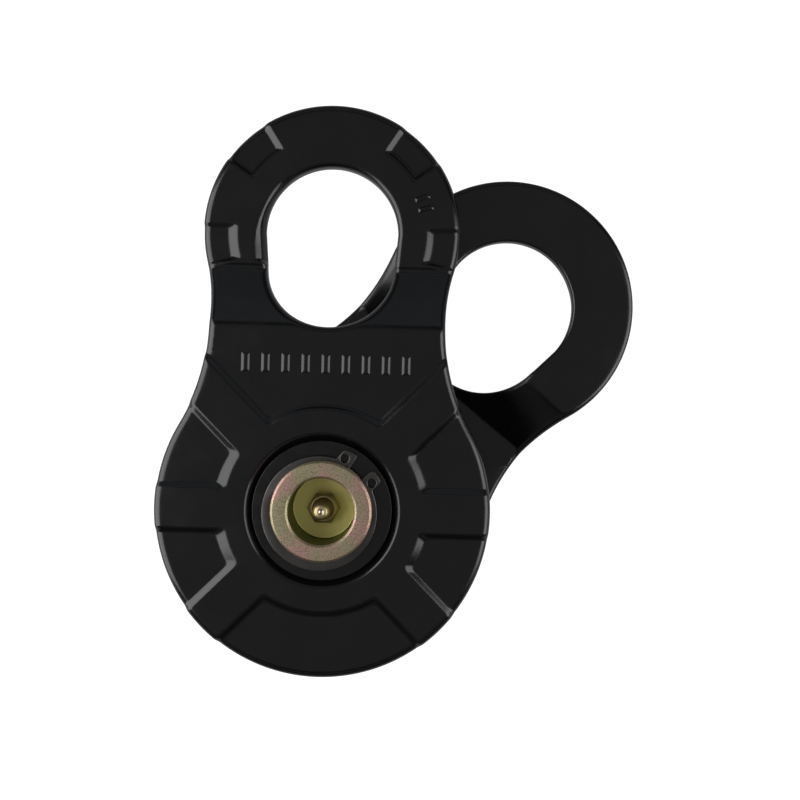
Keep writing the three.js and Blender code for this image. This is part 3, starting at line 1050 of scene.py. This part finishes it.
    def build(self, name: str) -> Piece:
        """The plate's mesh, placed on its side of the block.

        Args:
            name: the piece's name.

        Returns:
            The object.
        """
        disc_columns, eye_columns = 1.15, 1.3  # spacing along the rim
        disc_rows, eye_rows, disc_low_rows, eye_low_rows = 20, 24, 5, 16
        seat_reach, wall_reach = 1.1, 2.9  # how far the close rows go past the seat and the ring
        seam = self.seam_points()
        disc_line = self.spaced(self.outline(True), disc_columns, True)
        disc_rim = np.concatenate([seam, disc_line[1:-1]])
        eye_line = self.spaced(self.outline(False), eye_columns, False)
        eye_rim = np.concatenate([seam[::-1], eye_line[1:-1]])
        bore = self.bore_radius
        walls = [
            np.array([0.0, 3.5]),
            np.linspace(self.seat_floor_radius - seat_reach, self.seat_radius + seat_reach, 15) - bore,
            np.array([33.0, 35.2]) - bore,
            np.linspace(self.ring_radius - wall_reach, self.ring_radius + wall_reach, 14) - bore,
        ]
        round_rows = edge_rows(self.outer_round, self.outer_steps)
        inner_rows = edge_rows(self.inner_round, self.inner_steps)
        hole_rows = np.append(edge_rows(self.hole_round, self.hole_steps), (3.3, 4.2))
        low_rows = edge_rows(self.hole_inner_round, self.inner_steps)
        axle, middle = (0.0, 0.0), (0.0, self.eye_spacing - self.hole_length / 2)

        def bore_edge(angle: np.ndarray) -> np.ndarray:
            """The bore's radius for every angle."""
            return np.full_like(angle, bore)

        disc_top = self.ring(disc_rim, axle, bore_edge, self.stations(walls, disc_rows, round_rows))
        at_bore = self.stations([np.array([0.0])], disc_low_rows, inner_rows)
        disc_low = self.ring(disc_rim, axle, bore_edge, at_bore)
        near_hole = self.stations([hole_rows], eye_rows, round_rows)
        eye_top = self.ring(eye_rim, middle, self.hole_inner, near_hole)
        under_hole = self.stations([low_rows], eye_low_rows, inner_rows)
        eye_low = self.ring(eye_rim, middle, self.hole_inner, under_hole)
        parts = []
        for upper, lower in ((disc_top, disc_low), (eye_top, eye_low)):
            up = np.dstack([upper, self.top(upper[..., 0], upper[..., 1])])
            down = np.dstack([lower, self.bottom(lower[..., 0], lower[..., 1])])
            rows, columns = up.shape[:2]
            parts.append((up.reshape(-1, 3), grid_quads(rows, columns, True)))
            parts.append((down.reshape(-1, 3), grid_quads(down.shape[0], columns, True)[:, ::-1]))
            inner_wall = np.stack([up[0], down[0]])
            parts.append((inner_wall.reshape(-1, 3), grid_quads(2, columns, True)))
            rim_wall = np.stack([up[-1], down[-1]])
            on_outline = np.arange(len(seam) - 1, columns + 1) % columns
            rim_wall = rim_wall[:, on_outline]
            parts.append((rim_wall.reshape(-1, 3), grid_quads(2, rim_wall.shape[1], False)))
        piece = make_mesh(name, [(self.place(p), q) for p, q in parts])
        log.info("%s: %d faces", name, len(piece.data.polygons))
        return piece

    def place(self, points: np.ndarray) -> np.ndarray:
        """Points of the upright plate turned over for the rear side and swung about the axle.

        Args:
            points: an array (n, 3).

        Returns:
            The placed points, shaped as points.
        """
        if self.side is Side.REAR:
            points = points * TURNED_OVER
        c, s = math.cos(self.swing), math.sin(self.swing)
        x, y, z = points.T
        return np.stack([c * x - s * y, s * x + c * y, z], -1)

    def bars(self, name: str) -> Piece:
        """Plain bars raised on the neck, and two on the eye.

        Args:
            name: the piece's name.

        Returns:
            The object.
        """
        y = self.first_bend - self.bar_setback
        row = [(i - (self.bar_count - 1) / 2) * self.bar_pitch for i in range(self.bar_count)]
        parts = [self.bar(x, y, 0.0, self.bar_width, self.bar_length) for x in row]
        turn = math.radians(self.eye_bars_angle)
        for k in (-0.5, 0.5):
            angle = turn + k * self.eye_bars_gap / self.eye_bars_radius
            x = self.eye_bars_radius * math.cos(angle)
            y = self.eye_spacing + self.eye_bars_radius * math.sin(angle)
            parts.append(self.bar(x, y, angle, *self.eye_bar_size))
        return make_mesh(name, [part for pair in parts for part in pair])

    def bar(
        self, x: float, y: float, turn: float, wide: float, tall: float
    ) -> list[tuple[np.ndarray, np.ndarray]]:
        """One bar's top and underside.

        It is a pillow on a grid. Its height rises from each side over the draft, as an eased
        ramp of the lesser of the two distances, and its foot goes a little into the plate.

        Args:
            x: its middle across the plate.
            y: its middle along the plate.
            turn: how far it is turned, in radians.
            wide: its size across, at the foot.
            tall: its size along, at the foot.

        Returns:
            Two pairs of points and quads.
        """
        draft, run, columns = self.bar_draft, 1.5 * self.bar_draft, 9
        start, corner, ease = 0.2, 0.6, 0.3
        u, v = (
            np.concatenate(
                [[0], np.linspace(0, run, columns), np.linspace(size - run, size, columns), [size]]
            )
            - size / 2
            for size in (wide, tall)
        )
        px, py = (grid.ravel() for grid in np.meshgrid(u, v))
        from_side = (wide / 2 - np.abs(px)) / draft - start
        from_end = (tall / 2 - np.abs(py)) / draft - start
        rise = ramp(-soft_max(-from_side, -from_end, corner), ease)
        c, s = math.cos(turn), math.sin(turn)
        qx, qy = x + c * px - s * py, y + s * px + c * py
        foot = self.top(np.full_like(qx, x), np.full_like(qy, y))
        square = grid_quads(len(v), len(u), False)
        sunk = foot - self.bar_foot
        upper = np.stack([qx, qy, sunk + (self.bar_height + self.bar_foot) * rise], -1)
        lower = np.stack([qx, qy, sunk], -1)
        return [(self.place(upper), square), (self.place(lower), square[:, ::-1])]


# ---- Axle, washers and clip ---------------------------------------------------------------------


@dataclass
class AxleSet:
    """The headed axle, what holds the front cheek on it, and the washers beside the sheave."""

    radius: float = 19.0
    groove_depth: float = 1.0
    chamfer: float = 0.8
    counterbore_radius: float = 12.5
    counterbore_depth: float = 17.8
    drill_radius: float = 2.0
    thread_radius: float = 5.08
    thread_depth: float = 7.3
    clip_widest: float = 4.9
    clip_narrowest: float = 2.3
    clip_gap_angle: float = math.radians(49)
    lug_angle: float = math.radians(18.6)
    gap_half_angle: float = math.radians(9)
    lug_hole: float = 3.2
    lug_height: float = 7.0
    lug_width: float = 5.4
    lug_foot: float = 1.9
    lug_corner: float = 1.3
    clip_bevel: float = 0.32
    head_thickness: float = 2.8
    clip_play: float = 0.1

    def axle(self) -> Piece:
        """Axle: head, shank, clip groove, chamfered end, counterbore and grease ways.

        Returns:
            The object.
        """
        low = level("axle_pin", False) - MID_PLANE
        high = level("axle_pin", True) - MID_PLANE
        head = reach("axle_pin")
        shoulder = low + self.head_thickness
        clip_low = level("front_circlip", False) - MID_PLANE - self.clip_play
        clip_high = level("front_circlip", True) - MID_PLANE + self.clip_play
        r, c, bore = self.radius, self.chamfer, self.counterbore_radius
        floor = high - self.counterbore_depth
        tapped, drill_cone = floor - self.thread_depth, 1.5
        groove = r - self.groove_depth
        piece = turned(
            "axle_body",
            [
                (0.0, low, 0),
                (head, low, 0.8),
                (head, shoulder, 0.3),
                (r, shoulder, 0.2),
                (r, clip_low, 0.1),
                (groove, clip_low, 0.1),
                (groove, clip_high, 0.1),
                (r, clip_high, 0.1),
                (r, high - c, 0.25),
                (r - c, high, 0.25),
                (bore + c, high, 0.3),
                (bore, high - c, 0.3),
                (bore, floor, 0.9),
                (self.thread_radius, floor, 0.1),
                (self.thread_radius, tapped, 0.1),
                (self.drill_radius, tapped - drill_cone, 0.1),
                (self.drill_radius, -self.drill_radius, 0),
                (0.0, -self.drill_radius, 0),
            ],
        )
        drill, drill_steps = self.drill_radius, 32
        bit = np.array([(0, -2 * r), (drill, -2 * r), (drill, 2 * r), (0, 2 * r)])
        way, quads = revolve(bit, drill_steps)
        cut(piece, make_mesh("cross_drill", [(way[:, [0, 2, 1]], quads)]))
        return piece

    def washer(self, node: str, name: str) -> Piece:
        """A flat washer with eased edges.

        Args:
            node: the CAD washer that it stands for.
            name: the piece's name.

        Returns:
            The object.
        """
        low, high = level(node, False) - MID_PLANE, level(node, True) - MID_PLANE
        inner, outer, edge = RUNNING_RADIUS, reach(node), 0.2
        corners = [(inner, low), (outer, low), (outer, high), (inner, high)]
        return turned(name, [(*corner, edge) for corner in corners])

    def circlip(self) -> Piece:
        """External clip stamped from strip: an eccentric ring that ends in two square lugs.

        The outer edge is the eccentric ring's circle, raised to the lug's top over the lug's
        own angle; the inner edge is a circle about the axle. The outline is filled, given its
        thickness and a stamped edge, and turned to its gap.

        Returns:
            The object.
        """
        clear_of_groove, below_lug, ease, columns = 0.12, 0.25, 0.35, 721
        low, high = level("front_circlip", False), level("front_circlip", True)
        inner = self.radius - self.groove_depth + clear_of_groove
        mean = inner + (self.clip_widest + self.clip_narrowest) / 2
        shift = (self.clip_widest - self.clip_narrowest) / 2
        angle = np.linspace(self.gap_half_angle, 2 * math.pi - self.gap_half_angle, columns)
        ring = -shift * np.cos(angle) + np.sqrt(mean**2 - (shift * np.sin(angle)) ** 2)
        top = inner + self.lug_height - below_lug
        from_gap = np.minimum(angle, 2 * math.pi - angle)
        past = (from_gap - self.gap_half_angle) * top
        lug = 1 - ramp((past - self.lug_width) / self.lug_foot, ease)
        corner = drop(past, self.lug_corner)
        outer = np.maximum(ring, ring + (top - corner - ring) * lug)
        border = np.concatenate(
            [
                np.stack([outer * np.cos(angle), outer * np.sin(angle)], -1),
                inner * np.stack([np.cos(angle[::-1]), np.sin(angle[::-1])], -1),
            ]
        )
        around = np.linspace(0, 2 * math.pi, 40, endpoint=False)
        centre = inner + self.lug_height / 2
        holes = []
        for side in (1, -1):
            x, y = centre * math.cos(self.lug_angle), side * centre * math.sin(self.lug_angle)
            rim = self.lug_hole / 2 * np.stack([np.cos(around), np.sin(around)], -1)
            holes.append(rim + (x, y))
        bevel = self.clip_bevel
        curve = bpy.data.curves.new("clip_outline", "CURVE")
        curve.dimensions = "2D"
        curve.fill_mode = "BOTH"
        curve.extrude = ((high - low) / 2 - bevel) * MM
        curve.bevel_depth = bevel * MM
        curve.bevel_resolution = 2
        curve.offset = -bevel * MM
        for loop in [border, *holes]:
            spline = curve.splines.new("POLY")
            spline.points.add(len(loop) - 1)
            zero, one = np.zeros((len(loop), 1)), np.ones((len(loop), 1))
            flat = np.concatenate([loop * MM, zero, one], 1)
            spline.points.foreach_set("co", flat.ravel())
            spline.use_cyclic_u = True
        holder = bpy.data.objects.new("clip_outline", curve)
        mesh = bpy.data.meshes.new_from_object(holder)
        bpy.data.objects.remove(holder)
        points = np.empty(len(mesh.vertices) * 3)
        mesh.vertices.foreach_get("co", points)
        x, y, z = points.reshape(-1, 3).T
        c, s = math.cos(self.clip_gap_angle), math.sin(self.clip_gap_angle)
        placed = np.stack([c * x - s * y, s * x + c * y, z + (low + high) / 2 * MM], -1)
        mesh.vertices.foreach_set("co", placed.ravel())
        mesh.materials.clear()
        clean(mesh, WELD * 10)
        return show("retaining_clip", mesh)


# ---- Grease nipple ------------------------------------------------------------------------------


@dataclass
class GreaseNipple:
    """Hexagon body, threaded shank, waisted neck and round head, with its ball and spring."""

    hexagon: float = 11.0
    hexagon_height: float = 5.5
    thread_radius: float = 5.0
    thread_pitch: float = 1.0
    head_radius: float = 3.25
    neck_radius: float = 2.35
    bore_radius: float = 1.7
    mouth_radius: float = 0.95
    spring_wire: float = 0.36
    spring_turns: int = 6
    seat_above_shank: float = 6.5
    thread_depth: float = 0.55
    spring_seat: float = 3.25

    def body(self) -> Piece:
        """One surface: a turned section, pulled in to the hexagon's flats between its faces.

        The radius at angle a is the section's, or the hexagon's (half across flats over the
        cosine of the angle from the nearest flat) where that is less.

        Returns:
            The object.
        """
        low = level("grease_nipple", False) - MID_PLANE
        tip = level("grease_nipple", True) - MID_PLANE
        seat = low + self.seat_above_shank
        top = seat + self.hexagon_height
        corner = self.hexagon / 2 / math.cos(math.pi / 6)
        head = tip - 1.5 * self.head_radius
        t = self.thread_radius
        crests = np.arange(low + 0.8, seat - 1.0, self.thread_pitch)
        root, half_pitch, edge = t - self.thread_depth, self.thread_pitch / 2, 0.06
        threads = [q for z in crests for q in ((root, z, edge), (t, z + half_pitch, edge))]
        chamfer_radius, chamfer_height = 4.7, 1.1
        chamfer = [
            (corner + (chamfer_radius - corner) * k, top - chamfer_height * (1 - k), 0)
            for k in np.linspace(0, 1, 9)
        ]
        section = fillet(
            [
                (self.mouth_radius, low, 0.1),
                (t - 0.7, low, 0.1),
                *threads,
                (t - 0.6, seat - 0.3, 0.1),
                (t - 0.6, seat, 0),
                (corner, seat, 0),
                *chamfer,
                (4.3, top, 0.2),
                (4.1, top + 0.7, 0.4),
                (self.head_radius + 0.35, top + 2.3, 0.6),
                (self.neck_radius, head - 1.2, 0.8),
                (self.neck_radius, head + 0.1, 0.5),
                (self.head_radius, head + 1.2, 0.5),
                (self.head_radius, tip - 1.7, 0.8),
                (self.head_radius - 0.9, tip - 0.35, 0.5),
                (self.mouth_radius + 0.35, tip, 0.25),
                (self.mouth_radius, tip - 0.15, 0.1),
                (self.mouth_radius, tip - 0.4, 0.05),
                (self.bore_radius, tip - 1.3, 0.1),
                (self.bore_radius, low + self.spring_seat, 0.1),
                (self.mouth_radius, low + self.spring_seat, 0.1),
            ],
            4,
        )
        points, quads = revolve(section, 144)
        radius = np.hypot(points[:, 0], points[:, 1])
        angle = np.arctan2(points[:, 1], points[:, 0])
        flat = np.mod(angle, math.pi / 3) - math.pi / 6
        hexagon = self.hexagon / 2 / np.cos(flat)
        margin = 1e-6
        in_hex = (points[:, 2] > seat - margin) & (points[:, 2] < top + margin)
        pull = np.where(in_hex & (radius > hexagon), hexagon / np.maximum(radius, TINY), 1.0)
        points[:, :2] *= pull[:, None]
        return make_mesh("nipple_body", [(points, quads)])

    def ball(self) -> Piece:
        """Check ball: a sphere turned from its own half circle.

        Returns:
            The object.
        """
        low = level("nipple_check_ball", False) - MID_PLANE
        high = level("nipple_check_ball", True) - MID_PLANE
        r = (high - low) / 2
        up = np.linspace(-math.pi / 2, math.pi / 2, 25)
        section = np.stack([r * np.cos(up), (low + high) / 2 + r * np.sin(up)], -1)
        section[[0, -1], 0] = 0
        return make_mesh("check_ball", [revolve(section, 48)])

    def spring(self) -> Piece:
        """Coil: a circle of the wire's radius carried along a helix.

        The centre line is (R cos a, R sin a, rise) and the circle lies across it, in the outward
        direction and the direction square to that and to the helix.

        Returns:
            The object.
        """
        clear_of_bore, turn_steps, wire_steps = 0.2, 30, 12
        low = level("nipple_spring", False) - MID_PLANE + self.spring_wire / 2
        high = level("nipple_spring", True) - MID_PLANE - self.spring_wire / 2
        wire = self.spring_wire / 2
        big = self.bore_radius - clear_of_bore - wire
        steps = self.spring_turns * turn_steps + 1
        a = np.linspace(0, 2 * math.pi * self.spring_turns, steps)[:, None]
        climb = (high - low) / (2 * math.pi * self.spring_turns)
        b = np.linspace(0, 2 * math.pi, wire_steps, endpoint=False)
        length = math.hypot(big, climb)
        out = np.cos(b) * wire
        side = np.sin(b) * wire
        x = (big + out) * np.cos(a) + side * climb / length * np.sin(a)
        y = (big + out) * np.sin(a) - side * climb / length * np.cos(a)
        z = low + climb * a + side * big / length
        grid = np.stack(np.broadcast_arrays(x, y, z), -1)
        rows, columns = grid.shape[:2]
        ends = [
            np.stack([grid[k], np.broadcast_to(grid[k].mean(0), grid[k].shape)]) for k in (0, -1)
        ]
        parts = [(grid.reshape(-1, 3), grid_quads(rows, columns, True))]
        parts += [(end.reshape(-1, 3), grid_quads(2, columns, True)) for end in ends]
        return make_mesh("valve_spring", parts)


# ---- Sheave -------------------------------------------------------------------------------------


@dataclass
class SheaveWheel:
    """The grooved wheel, its two bronze bushes and the round seal beyond each."""

    groove_radius: float = 6.8
    groove_depth: float = 12.5
    flank: float = math.radians(22)
    web_width: float = 17.0
    hub_bore: float = 22.2
    hub_wall: float = 7.8
    web_fillet: float = 2.0
    hub_draft: float = 1.0
    axle_radius: float = 19.0
    bush_start: float = 0.6
    bush_gap: float = 0.08
    seal_section: float = 2.6

    def wheel(self) -> Piece:
        """Rim, groove, web and hub in one section.

        The groove is an arc of the rope's radius between two flanks at the flank angle. The
        section is one half, and the same half mirrored, with the groove between.

        Returns:
            The object.
        """
        outer = reach("sheave")
        half = (level("sheave", True) - level("sheave", False)) / 2
        web, hub, bore = self.web_width / 2, self.hub_bore + self.hub_wall, self.hub_bore
        root = outer - self.groove_depth
        round_ = self.web_fillet
        foot, draft = root - round_, self.hub_draft
        end = math.pi / 2 - self.flank
        a = np.linspace(-end, end, 25)
        arc_r = root + self.groove_radius * (1 - np.cos(a))
        arc_z = self.groove_radius * np.sin(a)
        mouth = arc_z[-1] + (outer - arc_r[-1]) * math.tan(self.flank)
        upper = [
            (outer, mouth, 0.8),
            (outer, half, 1.2),
            (foot + round_, half, 0.8),
            (foot, web, round_),
            (hub + draft, web, round_),
            (hub, half, 0.5),
            (bore, half, 0.4),
        ]
        lower = [(r, -z, corner) for r, z, corner in reversed(upper)]
        arc = [(r, z, 0) for r, z in zip(arc_r, arc_z)]
        return turned("sheave_wheel_body", [*lower, *arc, *upper])

    def bush(self, side: Side, name: str) -> Piece:
        """A plain bush with rounded ends.

        Args:
            side: the side of the mid-plane that it is on.
            name: the piece's name.

        Returns:
            The object.
        """
        low, high = self.bush_start, level("front_sheave_bush", True) - MID_PLANE
        inner, outer = RUNNING_RADIUS, self.hub_bore - self.bush_gap
        section = [(inner, low, 0.3), (outer, low, 0.4), (outer, high, 0.4), (inner, high, 0.3)]
        return turned(name, section, side)

    def seal(self, side: Side, name: str) -> Piece:
        """A round rubber ring: a circle carried round the axle.

        Args:
            side: the side of the mid-plane that it is on.
            name: the piece's name.

        Returns:
            The object.
        """
        low, high = level("front_grease_seal", False), level("front_grease_seal", True)
        mean, height = (self.axle_radius + self.hub_bore) / 2, (low + high) / 2 - MID_PLANE
        a = np.linspace(0, 2 * math.pi, 24, endpoint=False)
        r = self.seal_section / 2
        section = np.stack([mean + r * np.cos(a), height + r * np.sin(a)], -1)
        return revolved(name, section, side)


# ---- Studio -------------------------------------------------------------------------------------


@dataclass
class Studio:
    """White table, two tall soft boxes at the sides, dimmer panels, and the camera above."""

    camera_place: tuple[float, float, float] = (28.42, 42.52, 410.8)
    camera_turn: float = math.radians(1.534)
    lens: float = 44.1
    table_size: float = 40000.0
    table_gap: float = 0.2
    table_light: float = 0.25
    table_white: float = 0.98
    room_light: float = 0.03
    wall_white: float = 0.75

    def table(self) -> None:
        """A plain white table that glows: dimly onto the block, nearly white to the camera."""
        half, height = self.table_size / 2 * MM, -self.table_gap * MM
        mesh = bpy.data.meshes.new("table")
        corners = [(x * half, y * half, height) for x, y in ((-1, -1), (1, -1), (1, 1), (-1, 1))]
        mesh.from_pydata(corners, [], [(0, 1, 2, 3)])
        material, tree = new_material("table_white")
        seen = add_node(tree, "LightPath").outputs["Is Camera Ray"]
        glow = span(tree, seen, 0.0, 1.0, self.table_light, self.table_white)
        settings = {"Base Color": linear("#808080"), "Roughness": 0.6, "Emission Color": (1, 1, 1, 1)}
        surface(tree, settings, {"Emission Strength": glow})
        mesh.materials.append(material)
        show("table", mesh)

    def box(
        self,
        name: str,
        place: tuple[float, float, float],
        size: tuple[float, float],
        aim: tuple[float, float, float],
        radiance: float,
        tint: tuple[float, float, float] = (1, 1, 1),
    ) -> None:
        """A soft box of a given radiance (1 is the table's white).

        Args:
            name: the light's name.
            place: its centre, in millimetres.
            size: width and height, in millimetres.
            aim: the point it faces.
            radiance: how bright its face looks.
            tint: its colour, as linear red, green and blue.
        """
        light = bpy.data.lights.new(name, "AREA")
        light.shape = "RECTANGLE"
        light.color = tint
        light.size, light.size_y = size[0] * MM, size[1] * MM
        light.energy = radiance * math.pi * light.size * light.size_y
        holder = show(name, light)
        away = np.array(place, float) - np.array(aim, float)
        holder.location = [c * MM for c in place]
        flat = math.atan2(away[1], away[0])
        up = math.atan2(math.hypot(away[0], away[1]), away[2])
        holder.rotation_euler = (up, 0, flat + math.pi / 2)
        holder.visible_camera = False

    def lights(self) -> None:
        """Two bright side boxes, dim ones beyond both ends, and a faint ceiling."""
        self.box("left_box", (-450, 40, 290), (640, 580), (0, 40, 120), 3.3)
        self.box("right_box", (500, 0, 300), (520, 420), (0, 0, 100), 3.1)
        self.box("far_box", (30, 800, 500), (1500, 340), (30, 60, 30), 0.28, (0.85, 0.92, 1.0))
        self.box("near_box", (30, -760, 560), (1500, 300), (30, 0, 30), 0.15)
        self.box("ceiling", (28, 42, 760), (1000, 1000), (28, 42, 0), 0.21)
        world = bpy.data.worlds.new("studio")
        world.use_nodes = True
        tree = world.node_tree
        tree.nodes.clear()
        seen = add_node(tree, "LightPath").outputs["Is Camera Ray"]
        strength = span(tree, seen, 0.0, 1.0, self.room_light, self.wall_white)
        wall = add_node(tree, "Background", {"Color": (1, 1, 1, 1)}, {"Strength": strength})
        add_node(tree, "OutputWorld", links={"Surface": wall.outputs[0]})
        bpy.context.scene.world = world

    def camera(self) -> None:
        """The camera looks straight down on the axle's end and the eyes."""
        data = bpy.data.cameras.new("camera")
        data.lens = self.lens
        data.sensor_width = 36.0
        camera = show("camera", data)
        camera.location = [c * MM for c in self.camera_place]
        camera.rotation_euler = (0, 0, self.camera_turn)
        bpy.context.scene.camera = camera
        view = bpy.context.scene.view_settings
        view.view_transform = "Standard"
        view.look = "None"


# ---- Assembly -----------------------------------------------------------------------------------


def put(
    piece: Piece, body: str, finish: PowderCoat | YellowZinc | PlainMetal, *nodes: str
) -> None:
    """Dresses a piece, rides it on its body and lets it stand for its CAD nodes.

    Args:
        piece: the finished piece.
        body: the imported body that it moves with.
        finish: what it is dressed in.
        nodes: the CAD nodes that it stands for.
    """
    material = bpy.data.materials.get(finish.name) or finish.material()
    piece.data.materials.clear()
    piece.data.materials.append(material)
    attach(piece, body)
    if nodes:
        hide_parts(*nodes)
    log.info("%s rides on %s", piece.name, body)


def main() -> None:
    """Builds the block, its finishes and the studio."""
    logging.basicConfig(level=logging.INFO)
    coat, zinc = PowderCoat(), YellowZinc()
    front = CheekPlate(Side.FRONT)
    rear = CheekPlate(Side.REAR, swing=REAR_SWING)
    put(front.build("front_cheek"), "front_cheek", coat, "front_cheek_plate")
    put(front.bars("front_cheek_bars"), "front_cheek", coat)
    put(rear.build("rear_cheek"), "rear_cheek", coat, "rear_cheek_plate")
    put(rear.bars("rear_cheek_bars"), "rear_cheek", coat)
    axle = AxleSet()
    put(axle.axle(), "axle", zinc, "axle_pin")
    put(axle.circlip(), "axle", CLIP_STEEL, "front_circlip")
    washer = axle.washer("front_retaining_washer", "retaining_washer")
    put(washer, "retaining_washer", DARK_WASHER, "front_retaining_washer")
    for side in ("front", "rear"):
        thrust = axle.washer(f"{side}_thrust_washer", f"{side}_thrust")
        put(thrust, f"thrust_washer_{side}", WASHER_STEEL, f"{side}_thrust_washer")
    nipple = GreaseNipple()
    put(nipple.body(), "axle", BRASS, "grease_nipple")
    put(nipple.ball(), "check_ball", BRIGHT_STEEL, "nipple_check_ball")
    put(nipple.spring(), "axle", BRIGHT_STEEL, "nipple_spring")
    sheave = SheaveWheel()
    put(sheave.wheel(), "sheave_wheel", SHEAVE_STEEL, "sheave")
    for side, name in ((Side.FRONT, "front"), (Side.REAR, "rear")):
        put(sheave.bush(side, f"{name}_bush"), "sheave_wheel", BRONZE, f"{name}_sheave_bush")
        put(sheave.seal(side, f"{name}_seal"), "sheave_wheel", NITRILE, f"{name}_grease_seal")
    studio = Studio()
    studio.table()
    studio.lights()
    studio.camera()


if __name__ == "__main__":
    main()
